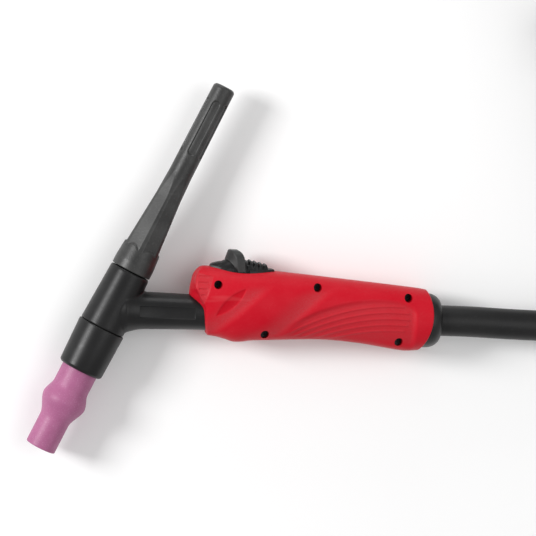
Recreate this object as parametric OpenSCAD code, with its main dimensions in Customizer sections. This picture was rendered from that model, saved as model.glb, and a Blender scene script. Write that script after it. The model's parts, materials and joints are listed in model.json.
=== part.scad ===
// Gas-cooled TIG welding torch with a two-shell handle and a 4 m hose.
// It lies on its side on a bench: the torch's own plane is level, +X runs from the head
// to the hose, +Y towards the back cap and +Z up off the bench. Lengths are in millimetres.

/* [Head] */
// Lean of the head axis from square to the bench edge, in degrees
head_lean = 27.2; // [22:0.1:32]
// Fall of the neck and handle axis towards the hose, in degrees
neck_fall = 2.5; // [0:0.1:5]
// Radius of the head moulding at its nozzle end
head_low_r = 11.5; // [11:0.1:13]
// Radius of the head moulding at its cap end
head_top_r = 10.3; // [9.8:0.1:11.5]
// Length of the head moulding from the neck axis to its nozzle end
head_down = 9.9; // [9.5:0.1:12]
// Length of the head moulding from the neck axis to its cap end
head_up = 21; // [18:0.5:26]
// Radius of the metal head inside the moulding
core_r = 8; // [7.6:0.1:8.6]
// Radius of the neck moulding where it enters the handle
neck_r = 8.85; // [8:0.05:9.5]
// Radius of the neck moulding near the head
neck_root_r = 9.3; // [9:0.1:10]
// Radius of the copper tube in the neck
tube_r = 4.5; // [3.8:0.1:5]
// Wall of the copper tube
tube_wall = 1.3; // [0.8:0.1:1.8]
// Length of the bare panel on the neck
panel_len = 28; // [20:1:30]
// Width of the bare panel on the neck
panel_w = 6; // [4:0.5:8]
// Depth of the bare panel on the neck
panel_depth = 0.7; // [0.4:0.1:1]

/* [Nozzle and sleeve] */
// Length of the sealing sleeve
sleeve_len = 23.8; // [20:0.2:28]
// Radius of the sealing sleeve against the head
sleeve_r = 12; // [11.6:0.1:13]
// Radius of the sealing sleeve at the nozzle
sleeve_low_r = 11.4; // [11:0.1:12]
// Rounding of the sleeve's nozzle edge
sleeve_round = 1.8; // [1:0.1:2]
// Length of the sleeve's inner lip on the metal head
sleeve_lip = 5.4; // [4:0.2:6.4]
// Length of nozzle that shows below the sleeve
nozzle_out = 43; // [38:0.5:50]
// Radius of the nozzle at its mouth
nozzle_tip_r = 7.7; // [7.2:0.1:8.4]
// Radius of the nozzle at its bulge
nozzle_bulge_r = 11.3; // [10:0.1:12]
// Radius of the nozzle's shank
nozzle_shank_r = 9.2; // [9:0.1:9.8]
// Length of the straight mouth of the nozzle
nozzle_mouth_len = 15; // [10:0.5:16]
// Distance of the bulge from the mouth
nozzle_bulge_at = 26; // [22:0.2:28]
// Distance of the shank's start from the mouth
nozzle_shank_at = 33.5; // [30:0.5:36]
// Bore of the nozzle's mouth
nozzle_bore_d = 11.2; // [10.8:0.2:12.6]
// Bore of the nozzle's shank
nozzle_chamber_d = 14.6; // [14:0.2:15.2]

/* [Collet] */
// Bore of the collet, for the electrode
electrode_d = 2.4; // [1.6:0.1:3.2]
// Outer diameter of the collet
collet_d = 4.8; // [4.6:0.1:5.2]
// Length of the slits in the collet
collet_slit_len = 16; // [10:1:20]
// Width of the slits in the collet
collet_slit_w = 0.4; // [0.3:0.1:0.6]
// Diameter of the collet body's barrel
barrel_d = 10.2; // [9:0.1:10.4]
// Length of the collet body below the metal head
barrel_len = 33.5; // [30:0.5:36]
// Diameter of the collet body's thread
shank_d = 10; // [9:0.1:10.4]
// Number of gas holes in the collet body
gas_holes = 6; // [4:1:8]
// Diameter of a gas hole
gas_hole_d = 1.6; // [1:0.1:2]

/* [Back cap] */
// Length of the back cap outside the head
cap_len = 102; // [92:1:110]
// Radius of the cap's collar
cap_r = 10.2; // [9.8:0.1:10.8]
// Length of the cap's plain collar
cap_collar_len = 4.5; // [3:0.5:6]
// Length of the cap's cone with its collar
cap_cone_len = 53; // [48:0.5:58]
// Radius of the cap where the cone ends
cap_stem_r = 6; // [5.8:0.1:6.4]
// Radius of the cap at its end
cap_end_r = 5.6; // [5.3:0.1:5.8]
// Rounding of the cap's end
cap_round = 1.8; // [1:0.1:2.5]
// Bore of the cap, room for a long electrode
cap_bore_d = 4.2; // [3.6:0.1:4.4]
// Depth of the cap's thread in the head
cap_thread_len = 9; // [8:0.5:10]
// Diameter of the cap's thread
cap_thread_d = 12.6; // [12:0.1:13]
// Number of flutes and of finger slots round the cap
cap_flutes = 6; // [4:1:6]
// Radius of the cutter that makes a flute
flute_r = 4.6; // [4:0.1:5]
// Depth of a flute at the collar
flute_deep = 1.5; // [0.8:0.1:1.8]
// Depth of a flute at its upper end
flute_shallow = 0.5; // [0.3:0.1:0.7]
// Length of a finger slot
slot_len = 30; // [24:1:34]
// Width of a finger slot
slot_w = 3.8; // [3:0.1:4.2]
// Depth of a finger slot
slot_depth = 0.7; // [0.4:0.1:0.9]
// Distance of a finger slot from the cap's end
slot_from_end = 8; // [6:0.5:10]

/* [Handle] */
// Distance of the handle's nose from the head axis
handle_nose = 38.4; // [36:0.1:42]
// Distance of the handle's rear edge from the head axis
handle_rear = 160; // [150:0.5:170]
// Height of the top line at the front
top_front = 23.4; // [22:0.1:25]
// Height of the top line at the waist
top_waist = 20.1; // [18:0.1:22]
// Height of the top line at the rear
top_rear = 16.2; // [15.6:0.1:17]
// Depth of the lower line at the front
low_front = 11.2; // [10.5:0.1:12]
// Depth of the lower line at the finger stop
low_stop = 14; // [13:0.1:15]
// Depth of the lower line at the waist
low_waist = 11.5; // [11:0.1:13]
// Depth of the lower line at the rear
low_rear = 15.7; // [15:0.1:16.5]
// Half width of the handle at the nose
half_nose = 11.2; // [10.8:0.1:12]
// Half width of the handle at the finger stop
half_stop = 16; // [15:0.1:17]
// Half width of the handle at the waist
half_waist = 15; // [14:0.1:16]
// Half width of the handle at the rear
half_rear = 14.7; // [14.4:0.1:15.4]
// Wall of the handle shells
wall = 2.4; // [2:0.1:2.8]
// Depth of the palm hollow in the handle's sides
palm_depth = 1.1; // [0.5:0.1:1.5]
// Depth of the two slanting valleys beside the thumb rest
valley_depth = 0.7; // [0:0.1:0.9]
// Grip ridges in the palm hollow
ridge_count = 5; // [3:1:5]
// Height of a grip ridge
ridge_h = 0.4; // [0.2:0.1:0.6]
// Distance between grip ridges
ridge_pitch = 3.05; // [2.6:0.05:3.2]
// Length of the leaf-shaped thumb rest
leaf_len = 20.8; // [16:0.2:22]
// Width of the thumb rest
leaf_w = 5.5; // [4:0.1:6]
// Depth of the thumb rest
leaf_deep = 0.9; // [0.5:0.1:1.2]
// Rounding of the handle's front edge
edge_round = 2; // [1:0.1:2.5]
// Rounding of the handle's rear edge
rear_round = 0.6; // [0.3:0.1:0.8]
// Diameter of the screw pockets in the near shell
screw_pocket_d = 4.3; // [4:0.1:4.6]
// Diameter of the screw heads
screw_head_d = 4; // [3.6:0.1:4]
// Diameter of the screw shanks
screw_d = 2.4; // [2:0.1:2.6]
// Diameter of the screw bosses
boss_d = 7.2; // [6.8:0.1:7.6]
// Height of the ledge under a screw head above the parting plane
screw_ledge = 3; // [2:0.5:4]
// Depth of a screw in the far shell
screw_bite = 7; // [5:0.5:8]

/* [Trigger] */
// Distance of the trigger's pin from the head axis
pin_u = 61; // [60:0.5:62]
// Height of the trigger's pin above the handle axis
pin_v = 12.5; // [12:0.1:13]
// Diameter of the trigger's pin
pin_d = 2; // [1.6:0.1:2.4]
// Length of the trigger's base
base_len = 32; // [30:0.5:34]
// Width of the trigger's base
base_w = 17; // [15:0.5:18]
// Distance from the pin to the base's saddle
saddle_r = 14; // [13.6:0.1:14.4]
// Height of the fin above the saddle
fin_h = 5.4; // [4:0.2:6.5]
// Width of the fin
fin_w = 14.6; // [12:0.2:15]
// Number of ribs behind the fin
rib_count = 4; // [3:1:6]
// Height of a rib
rib_h = 0.7; // [0.4:0.1:0.9]
// Tilt of the trigger to either side, in degrees
trigger_tilt = 5; // [3:0.5:5]

/* [Hose] */
// Diameter of the hose
hose_d = 15.5; // [14:0.5:15.5]
// Radius of the rear boot at the handle
boot_r = 13.7; // [13:0.1:14]
// Length of the rear boot outside the handle
boot_len = 8.6; // [7:0.2:10]
// Radius of the coil's innermost turn
coil_in_r = 69; // [65:0.5:72]
// Distance between the coil's turns
coil_pitch = 16.4; // [16.3:0.1:17]
// Turns in the coil's lower layer
turns_low = 3.1; // [2.1:1:3.1]
// Turns in the coil's upper layer
turns_high = 2.9; // [1.9:1:2.9]
// Thickness of the tie straps
tie_t = 1.4; // [1:0.1:1.6]
// Width of the tie straps
tie_w = 20; // [14:1:24]

/* [Connector] */
// Radius of the connector's union nut
nut_r = 19; // [18.5:0.5:20]
// Length of the union nut
nut_len = 26; // [22:1:30]
// Number of grip ribs on the union nut
nut_ribs = 18; // [12:1:24]
// Radius of the connector's housing
plug_r = 16; // [15:0.5:16.5]
// Length of the connector's housing
plug_len = 34; // [30:1:40]
// Diameter of the connector's power pin
power_pin_d = 13; // [12:0.5:14]
// Length of the power pin past the housing
power_pin_len = 34; // [32:1:40]
// Diameter of the gas way in the power pin
gas_way_d = 6; // [4:0.5:7]
// Diameter of the two control contacts
contact_d = 2.4; // [2:0.1:3]
// Length of the connector's strain relief
relief_len = 38; // [30:1:46]

/* [Hidden] */
// Clearance of a piece in its seat
fit = 0.05;
// Clearance of a piece that slides or turns in its bore
run_fit = 0.1;
// Gap between moving pieces
gap = 0.4;
// Gap between the two handle shells
parting = 0.1;
$fn = 48;

// Small functions
function smooth(t) = let (c = min(1, max(0, t))) c * c * (3 - 2 * c);
function lerp(a, b, t) = a + (b - a) * t;
function arc(c, r, a0, a1, n = 6) =
  [for (i = [0:n]) let (a = lerp(a0, a1, i / n)) [c[0] + r * cos(a), c[1] + r * sin(a)]];
function unit(v) = v / norm(v);
function slope_at(p, i) =
  let (a = max(0, i - 1), b = min(len(p) - 1, i + 1)) (p[b][1] - p[a][1]) / (p[b][0] - p[a][0]);
function piece_at(p, x, i = 0) = (i >= len(p) - 2 || x < p[i + 1][0]) ? i : piece_at(p, x, i + 1);
// Height of a smooth line through hand-picked points
function line_at(p, x) =
  let (i = piece_at(p, x), d = p[i + 1][0] - p[i][0], t = (x - p[i][0]) / d)
  (1 + 2 * t) * (1 - t) * (1 - t) * p[i][1] + t * (1 - t) * (1 - t) * d * slope_at(p, i)
  + t * t * (3 - 2 * t) * p[i + 1][1] - t * t * (1 - t) * d * slope_at(p, i + 1);

// Stations along the head axis, from the neck axis: plus is towards the cap
sleeve_end = -(head_down + sleeve_len);
nozzle_tip = sleeve_end - nozzle_out;
nozzle_top = -(head_down + sleeve_lip + gap);
core_low = -(head_down + sleeve_lip + 1.2);
core_top = head_up - 1.4;
barrel_end = core_low - barrel_len;
cap_low = head_up + gap;
cap_top = cap_low + cap_len;
thread_low = cap_low - cap_thread_len;
collet_low = barrel_end + 2.6;
collet_top = thread_low - fit;
collet_len = collet_top - collet_low;
// Rounding of the nozzle's mouth
nozzle_rim = 0.6;
// The cap's sealing ring
ring_r = 0.75;
ring_mid_r = cap_thread_d / 2 + ring_r + run_fit;
// Middle of the bare panel along the neck
panel_place = lerp(neck_root_r, handle_nose, 0.62);

// Handle outline in its own frame: u along the handle axis, v across it, z out of its plane
nose_v = 9.2;
nose_curve = 0.026;
nose_slope = 0.75;
nose_bend = 0.0135;
nose_ease = 2.4;
rear_v = 3.7;
rear_curve = 0.0145;
function front_u(v) =
  let (d = nose_v - v, e = d < nose_ease ? d * d / (2 * nose_ease) : d - nose_ease / 2)
  handle_nose + (d < 0 ? nose_curve * d * d : nose_slope * e - nose_bend * e * e);
function back_u(v) = handle_rear - rear_curve * pow(v - rear_v, 2);
top_line = [[0, top_front - 0.2], [0.1, top_front], [0.2, top_front - 0.4], [0.55, top_waist],
            [0.95, top_rear], [1, top_rear - 0.8]];
low_line = [[0, -low_front], [0.04, -low_front - 0.5], [0.08, -low_stop + 1.2], [0.119, -low_stop],
            [0.158, 0.1 - low_stop], [0.2, 0.8 - low_stop], [0.275, -(low_waist + 1.2)], [0.52, -low_waist],
            [0.7, -(low_waist + 1.1)], [0.93, -low_rear], [1, 0.4 - low_rear]];
half_line = [[0, half_nose], [0.1, half_stop - 2.2], [0.26, half_stop], [0.5, half_waist],
             [0.75, half_waist - 0.2], [1, half_rear]];
squareness = [[0, 2.5], [0.2, 2.3], [0.8, 2.25], [1, 2.05]];
// Palm hollow: upper edge of the hollow, and where it starts and ends along the handle
palm_start = handle_rear - 76;
palm_end = handle_rear - 8;
palm_last = palm_end + 1;
palm_edge = 3;
palm_line = [[palm_start, -4], [palm_start + 20, 5.6], [palm_start + 38, 10.3], [palm_start + 55, 11],
             [palm_last - 5, 8.8], [palm_last, 4]];
function palm(u, v, low) =
  palm_depth * smooth((line_at(palm_line, min(palm_last, max(palm_start, u))) - v) / palm_edge)
  * smooth((u - palm_start) / 12) * smooth((palm_end - u) / palm_edge) * smooth((v - low) / 5);

// Two slanting valleys that give the handle its twist: a point of each, and the widths of its two sides
valley_at = [[handle_nose + 23, 3.4], [handle_nose + 50.7, -0.4]];
valley_across = [0.682, -0.731];
valley_wide = [9, 4];
function valley_share(w) = w < 0 ? smooth(1 + w / valley_wide[0]) : smooth(1 - w / valley_wide[1]);
function valley(u, v) =
  valley_depth * max([for (p = valley_at) valley_share(([u, v] - p) * valley_across)])
  * smooth((v + 12) / 4) * smooth((17 - v) / 7);
function moulded(u, v, low, z) =
  let (hollow = palm(u, v, low)) (hollow + valley(u, v) * (1 - hollow / palm_depth)) * smooth(z / 6);

// Loft of the handle: stations close up at both rounded ends
loft_stations = 44;
loft_sides = 16;
end_steps = [0, 0.15, 0.45, 1];
function station(i) =
  let (last = loft_stations - 1, e = len(end_steps) - 1, length = handle_rear - handle_nose)
  i <= e ? edge_round / length * end_steps[i]
  : i >= last - e ? 1 - rear_round / length * end_steps[last - i]
  : lerp(edge_round / length, 1 - rear_round / length, (i - e) / (last - 2 * e));
function end_inset(t) =
  let (
    r = t < 0.5 ? edge_round : rear_round,
    d = min(t, 1 - t) * (handle_rear - handle_nose) / r
  ) d >= 1 ? 0 : r * (1 - sqrt(1 - pow(1 - d, 2)));
function section_point(t, a, inset) =
  let (
    top = line_at(top_line, t) - inset, low = line_at(low_line, t) + inset,
    half = line_at(half_line, t) - inset, e = 2 / line_at(squareness, t),
    v = (top + low) / 2 + (top - low) / 2 * sign(cos(a)) * pow(abs(cos(a)), e),
    u = lerp(front_u(v), back_u(v), t),
    z = half * pow(abs(sin(a)), e) * sign(sin(a))
  ) [u, v, abs(z) < 0.001 ? 0 : z - sign(z) * moulded(u, v, low, abs(z))];
half_max = max([for (i = [0:loft_stations - 1]) line_at(half_line, station(i)) - end_inset(station(i))]);

// Height of the outer skin over the middle plane
function skin_z(u, v) =
  let (
    t = (u - front_u(v)) / (back_u(v) - front_u(v)),
    top = line_at(top_line, t), low = line_at(low_line, t), n = line_at(squareness, t),
    z = line_at(half_line, t) * pow(1 - pow(abs(2 * v - top - low) / (top - low), n), 1 / n)
  ) z - moulded(u, v, low, z);

// Grip ridges: the highest point of the first, how fast they fall, and where each starts and ends
ridge_top = 7.4;
ridge_peak = handle_rear - 20;
ridge_fall = 0.0055;
ridge_r = 0.9;
ridge_steps = 9;
ridge_sides = 6;
ridge_low = -10;
ridge_ends = [for (e = [4.3, 6.9, 7.1, 6.3, 4.8]) ridge_peak + e];
function ridge_v(k, u) = ridge_top - ridge_pitch * k - ridge_fall * pow(u - ridge_peak, 2);
function ridge_start(k) =
  max(palm_start + 9, ridge_peak - sqrt((ridge_top - ridge_pitch * k - ridge_low) / ridge_fall));
function ridge_route(k) = [for (i = [0:ridge_steps])
  let (u = lerp(ridge_start(k), ridge_ends[k], i / ridge_steps), v = ridge_v(k, u))
  [u, v, skin_z(u, v) + ridge_h - ridge_r]];
leaf_at = [handle_nose + 19.7, 6.6];

// Places on the handle, as [u, v]
screw_places = [[handle_nose + 13, 15], [handle_nose + 37.5, -9], [handle_rear - 58.9, 15.2],
                [handle_rear - 12.8, 11.6], [handle_rear - 16.4, -10.6]];
pocket_floor = top_front - 3.9;
base_mid = pin_u + 3.2;
board_low = tube_r + 0.8;
board_t = 1.4;
board_len = 18;
board_w = 13;
switch_h = 1.4;
bar_t = 1.4;
bar_half = 7;
switch_offset = 5;
bar_low = board_low + board_t + switch_h + gap + switch_offset * sin(trigger_tilt);
neck_end = 52;
boot_v = -0.1;
boot_start = handle_rear - 4.2;
boot_end = handle_rear - 3 + boot_len;
boot_neck_r = 10.6;
boot_end_r = hose_d / 2 + 0.5;
boot_flange_r = boot_neck_r + 1.4;
boot_flange_t = 3;
rear_wall = 3.4;
cavity_end = boot_start - rear_wall;
cavity_start = neck_end + 0.4;
tube_end = neck_end + 40;
fitting_len = 16;
clamp_u = handle_rear - 34;
clamp_len = 8;
power_hose_r = 5.4;
clamp_r = power_hose_r + 2.4;
rib_t = 1.6;
// Control wires: height over the clamp, height at the boot, radius and distance from the middle plane
wire_v = 10.3;
wire_low_v = 6.5;
wire_r = 0.8;
wire_z = 1.4;

// The frame: the bench under the middle of the torch without its hose
lean_x = sin(head_lean);
lean_y = cos(head_lean);
tip_at = nozzle_tip + nozzle_rim;
tip_r = nozzle_tip_r - nozzle_rim;
torch_x = [tip_at * lean_x - tip_r * lean_y - nozzle_rim,
           boot_end * cos(neck_fall) + (boot_v + boot_end_r) * sin(neck_fall)];
torch_y = [tip_at * lean_y - tip_r * lean_x - nozzle_rim,
           (cap_top - cap_round) * lean_y + (cap_end_r - cap_round) * lean_x + cap_round];
head_at = [-(torch_x[0] + torch_x[1]) / 2, -(torch_y[0] + torch_y[1]) / 2, half_max];

module on_head() {
  translate(head_at) rotate([0, 0, -head_lean]) rotate([-90, 0, 0]) children();
}
// Handle frame: children are drawn with u on X, v on Y and z on Z
module on_handle() {
  translate(head_at) rotate([0, 0, -neck_fall]) children();
}
// A rod along the handle axis from one u to another
module axis_rod(r, from, to, v = 0) {
  translate([from, v, 0]) rotate([0, 90, 0]) cylinder(r = r, h = to - from);
}

// Connector stations along its axis, the last ones from the housing's rear face
body_at = relief_len + fit;
nut_at = body_at + plug_len - 10;
collar_r = plug_r - 2.4;
collar_end = plug_len + nut_len - 14;
nut_groove_r = collar_r - 1.4;
nut_groove_at = plug_len;
nut_groove_w = 4;
pin_root_r = power_pin_d / 2 - 1.5;
pin_root_at = plug_len - 14;
contact_at = plug_len - 8;
contact_offset = (nut_groove_r + pin_root_r) / 2;

// Route of the hose
tie_gap = 0.2;
coil_z = hose_d / 2 + tie_t + tie_gap;
layer_h = coil_pitch - 0.1;
coil_out_r = coil_in_r + turns_low * coil_pitch;
end_r = coil_in_r + turns_high * coil_pitch;
loop_rings = 24;
loop_sides = 6;
hose_sides = 12;
exit_dir = [cos(neck_fall), -sin(neck_fall), 0];
exit_at = head_at + [boot_end * cos(neck_fall) + boot_v * sin(neck_fall),
                     boot_v * cos(neck_fall) - boot_end * sin(neck_fall), 0];
run_y = exit_at[1] - 6.2;
coil_at = [exit_at[0] + 186.6, run_y + coil_out_r];
run_points = concat(
  [exit_at, exit_at + hose_d * exit_dir],
  [for (p = [[32.6, -2, 5.885], [52.6, -3.4, 4.25], [72.6, -4.6, 2.45], [92.6, -5.4, 1.25], [116.6, -6, 0.2]])
    [exit_at[0] + p[0], exit_at[1] + p[1], coil_z + p[2]]],
  [[exit_at[0] + 142.6, run_y, coil_z], [coil_at[0] - hose_d, run_y, coil_z], [coil_at[0], run_y, coil_z]]);
relief_at = [coil_at[0] - 84, coil_at[1] + end_r, nut_r + 0.1];
tail_z = coil_z + layer_h;
tail_points = [
  [coil_at[0], relief_at[1], tail_z], [coil_at[0] - hose_d, relief_at[1], tail_z],
  [coil_at[0] - 34, relief_at[1], tail_z - 1], [coil_at[0] - 52, relief_at[1], relief_at[2] + 1.4],
  [relief_at[0] + hose_d, relief_at[1], relief_at[2]], relief_at];
// The coil winds in on the bench, climbs for half a turn at its middle and winds out on top
function coil_point(turn) =
  let (
    rate = coil_pitch / 360,
    a = turn * 360,
    climb = (turn - turns_low) * 360,
    r = climb <= 0 ? coil_out_r - rate * a
      : climb < 180 ? coil_in_r - rate * 180 / PI * sin(climb)
      : coil_in_r + rate * (climb - 180),
    z = coil_z + layer_h * smooth(climb / 180)
  ) [coil_at[0] + r * sin(a), coil_at[1] - r * cos(a), z];
coil_turns = turns_low + 0.5 + turns_high;
coil_points = [for (i = [0:round(coil_turns * loop_rings)])
  coil_point(min(coil_turns, i * coil_turns / round(coil_turns * loop_rings)))];
function path_len(p, i = 0, s = 0) = i >= len(p) - 1 ? s : path_len(p, i + 1, s + norm(p[i + 1] - p[i]));
// Least distance between parts of the coil that are at least half a loop apart, less the hose
coil_gap = min([for (i = [0:len(coil_points) - 1]) for (j = [i + loop_rings / 2:1:len(coil_points) - 1])
  norm(coil_points[i] - coil_points[j])]) - hose_d;
echo(hose_length = path_len(run_points) + path_len(coil_points) + path_len(tail_points));
echo(coil_gap = coil_gap);

// One closed tube of round section along a route; the end faces are square to the given directions
module sweep(route, r, sides, from_dir, to_dir) {
  n = len(route);
  rings = [for (i = [0:n - 1])
    let (
      t = i == 0 ? from_dir : i == n - 1 ? to_dir : unit(route[i + 1] - route[i - 1]),
      side = unit(cross(t, [0, 0, 1])),
      up = cross(side, t)
    )
    for (k = [0:sides - 1]) let (a = 360 * (k + 0.5) / sides) route[i] + r * (cos(a) * side + sin(a) * up)];
  skin = [for (i = [0:n - 2]) for (k = [0:sides - 1])
    let (a = i * sides + k, b = i * sides + (k + 1) % sides)
    each [[a, b, b + sides], [a, b + sides, a + sides]]];
  starts = [for (k = [1:sides - 2]) [0, k + 1, k]];
  ends = [for (k = [1:sides - 2]) [(n - 1) * sides, (n - 1) * sides + k, (n - 1) * sides + k + 1]];
  polyhedron(concat(rings), concat(skin, starts, ends), convexity = 6);
}

// The head and its consumables
function nozzle_r(s) =
  let (
    rise = (s - nozzle_mouth_len) / (nozzle_bulge_at - nozzle_mouth_len),
    fall = (s - nozzle_bulge_at) / (nozzle_shank_at - nozzle_bulge_at)
  ) s < nozzle_bulge_at ? lerp(nozzle_tip_r, nozzle_bulge_r, smooth(rise))
  : lerp(nozzle_bulge_r, nozzle_shank_r, smooth(fall));

module gas_nozzle() {
  steps = 22;
  length = nozzle_top - nozzle_tip;
  chamber_at = nozzle_bulge_at - 4;
  outer = concat(
    arc([nozzle_tip_r - nozzle_rim, nozzle_rim], nozzle_rim, -90, 0, 4),
    [for (i = [0:steps]) let (s = lerp(nozzle_mouth_len, nozzle_shank_at, i / steps)) [nozzle_r(s), s]],
    [[nozzle_shank_r, length - nozzle_rim], [nozzle_shank_r - nozzle_rim, length]]);
  color("orchid") on_head() translate([0, 0, nozzle_tip]) rotate_extrude() difference() {
    polygon(concat([[0, 0]], outer, [[0, length]]));
    translate([0, -1]) square([nozzle_bore_d / 2, length + 2]);
    polygon([[0, chamber_at], [nozzle_bore_d / 2, chamber_at], [nozzle_chamber_d / 2, chamber_at + 3],
             [nozzle_chamber_d / 2, length + 1], [0, length + 1]]);
  }
}

module sealing_sleeve() {
  top_edge = 0.5;
  inner_chamfer = 0.6;
  color("dimgray") on_head() rotate_extrude() difference() {
    polygon(concat(
      [[0, sleeve_end]],
      arc([sleeve_low_r - sleeve_round, sleeve_end + sleeve_round], sleeve_round, -90, 0),
      [[sleeve_r, -head_down - top_edge - fit], [sleeve_r - top_edge, -head_down - fit],
       [0, -head_down - fit]]));
    translate([0, sleeve_end - 1]) square([nozzle_shank_r + run_fit, sleeve_len - sleeve_lip + 1]);
    translate([0, sleeve_end - 1]) square([core_r - 1 + fit, sleeve_len + 2]);
    polygon([[0, sleeve_end - 1], [nozzle_shank_r + run_fit + inner_chamfer + 1, sleeve_end - 1],
             [nozzle_shank_r + run_fit, sleeve_end + inner_chamfer], [0, sleeve_end + inner_chamfer]]);
  }
}

module torch_head() {
  edge = 0.8;
  flare_from = 7;
  flare_to = 18;
  flare_r = neck_root_r + 2.4;
  flare = [for (i = [0:8]) let (t = i / 8)
    [lerp(flare_r, neck_root_r, 1 - pow(1 - t, 2)), lerp(flare_from, flare_to, t)]];
  color("black") difference() {
    union() {
      on_head() rotate_extrude() polygon(concat(
        [[0, -head_down]],
        arc([head_low_r - edge, edge - head_down], edge, -90, 0, 4),
        arc([head_top_r - edge, head_up - edge], edge, 0, 90, 4),
        [[0, head_up]]));
      on_handle() rotate([0, 90, 0]) rotate_extrude() polygon(concat(
        [[0, 0], [flare_r, 0]], flare,
        [[neck_r, handle_nose - 1], [neck_r, neck_end - edge], [neck_r - edge, neck_end], [0, neck_end]]));
    }
    on_head() translate([0, 0, -head_down - 1]) cylinder(r = core_r + fit, h = core_top + head_down + 1);
    on_head() translate([0, 0, core_top]) cylinder(r = ring_mid_r + ring_r + gap, h = head_up);
    on_handle() axis_rod(tube_r + fit, 0, neck_end + 1);
    on_handle() translate([panel_place - panel_len / 2, -panel_w / 2, neck_r - panel_depth])
      cube([panel_len, panel_w, neck_r]);
  }
}

module head_core() {
  side_way = tube_r - tube_wall;
  socket_at = core_r - 2.6;
  color("goldenrod") difference() {
    on_head() {
      difference() {
        union() {
          translate([0, 0, -head_down]) cylinder(r = core_r, h = core_top + head_down);
          translate([0, 0, core_low]) cylinder(r = core_r - 1, h = -core_low);
        }
        translate([0, 0, core_low - 1]) cylinder(d = shank_d + 2 * fit, h = -core_low - 4);
        translate([0, 0, core_low]) cylinder(d = collet_d + 1.4, h = core_top - core_low + 1);
        translate([0, 0, thread_low - 1]) cylinder(d = cap_thread_d + 2 * run_fit, h = core_top);
      }
    }
    on_handle() axis_rod(side_way, 0, core_r);
    on_handle() axis_rod(tube_r + fit, socket_at, 2 * core_r);
  }
}

module neck_tube() {
  color("chocolate") on_handle() difference() {
    axis_rod(tube_r, core_r - 2.6 + fit, tube_end);
    axis_rod(tube_r - tube_wall, 0, tube_end + 1);
  }
}

module collet_body() {
  flange_r = core_r - 1.4;
  flange_t = 2;
  nose_len = 6;
  nose_r = 3;
  thread_top = -5.2;
  hole_at = barrel_end + nose_len + 5;
  bore_r = collet_d / 2 + run_fit;
  mouth_r = electrode_d / 2 + run_fit;
  seat_slope = (bore_r - mouth_r) / (collet_low - fit - barrel_end);
  color("peru") on_head() difference() {
    rotate_extrude() difference() {
      polygon([[0, thread_top], [shank_d / 2, thread_top], [shank_d / 2, core_low - fit],
               [flange_r, core_low - fit], [flange_r, core_low - flange_t],
               [barrel_d / 2, core_low - flange_t],
               [barrel_d / 2, barrel_end + nose_len], [nose_r, barrel_end], [0, barrel_end]]);
      polygon([[0, thread_top + 1], [bore_r, thread_top + 1], [bore_r, collet_low - fit],
               [mouth_r - 0.5 * seat_slope, barrel_end - 0.5], [0, barrel_end - 0.5]]);
    }
    for (i = [0:gas_holes - 1])
      rotate([0, 0, 360 * (i + 0.5) / gas_holes]) translate([bore_r - 0.5, 0, hole_at]) rotate([0, 90, 0])
        cylinder(d = gas_hole_d, h = barrel_d);
  }
}

module collet() {
  color("chocolate") on_head() difference() {
    translate([0, 0, collet_low]) cylinder(d = collet_d, h = collet_len);
    translate([0, 0, collet_low - 1]) cylinder(d = electrode_d, h = collet_len + 2);
    for (a = [0, 90])
      rotate([0, 0, a]) translate([-collet_d, -collet_slit_w / 2, collet_low - 1])
        cube([2 * collet_d, collet_slit_w, collet_slit_len + 1]);
  }
}

// The cap: a cone with arched flutes that runs out into a stem with finger slots
module flute(turn) {
  low = cap_low + cap_collar_len + flute_r * 0.75;
  high = cap_low + cap_cone_len + 2;
  low_r = lerp(cap_r, cap_stem_r, (low - cap_low - cap_collar_len) / (cap_cone_len - cap_collar_len));
  from = [low_r + flute_r - flute_deep, low];
  to = [cap_stem_r + flute_r - flute_shallow, high];
  tilt = atan2(from[0] - to[0], high - low);
  rotate([0, 0, turn]) {
    translate([from[0], 0, from[1]]) sphere(r = flute_r);
    translate([from[0], 0, from[1]]) rotate([0, -tilt, 0]) cylinder(r = flute_r, h = norm(to - from));
    translate([to[0], 0, to[1]]) sphere(r = flute_r);
  }
}

module finger_slot(turn) {
  top = cap_top - slot_from_end - slot_w / 2;
  low = top - slot_len + slot_w;
  rotate([0, 0, turn]) translate([cap_end_r - slot_depth, 0, 0]) rotate([0, 90, 0])
    linear_extrude(height = cap_r) {
      translate([-top, 0]) circle(d = slot_w);
      translate([-low, 0]) circle(d = slot_w);
      translate([-top, -slot_w / 2]) square([top - low, slot_w]);
    }
}

module back_cap() {
  edge = 0.5;
  cone_top = cap_low + cap_cone_len;
  inside_top = cap_top - 4;
  color("darkslategray") on_head() difference() {
    rotate_extrude() polygon(concat(
      [[0, thread_low], [cap_thread_d / 2, thread_low], [cap_thread_d / 2, cap_low]],
      arc([cap_r - edge, cap_low + edge], edge, -90, 0, 3),
      [[cap_r, cap_low + cap_collar_len], [cap_stem_r, cone_top]],
      arc([cap_end_r - cap_round, cap_top - cap_round], cap_round, 0, 90),
      [[0, cap_top]]));
    translate([0, 0, thread_low - 1]) cylinder(d = cap_bore_d, h = inside_top - thread_low + 1);
    for (i = [0:cap_flutes - 1]) {
      flute(360 * (i + 0.5) / cap_flutes + 90);
      finger_slot(360 * i / cap_flutes + 90);
    }
  }
}

module cap_seal() {
  color("black") on_head() translate([0, 0, core_top + ring_r + run_fit])
    rotate_extrude() translate([ring_mid_r, 0]) circle(r = ring_r);
}

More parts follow.
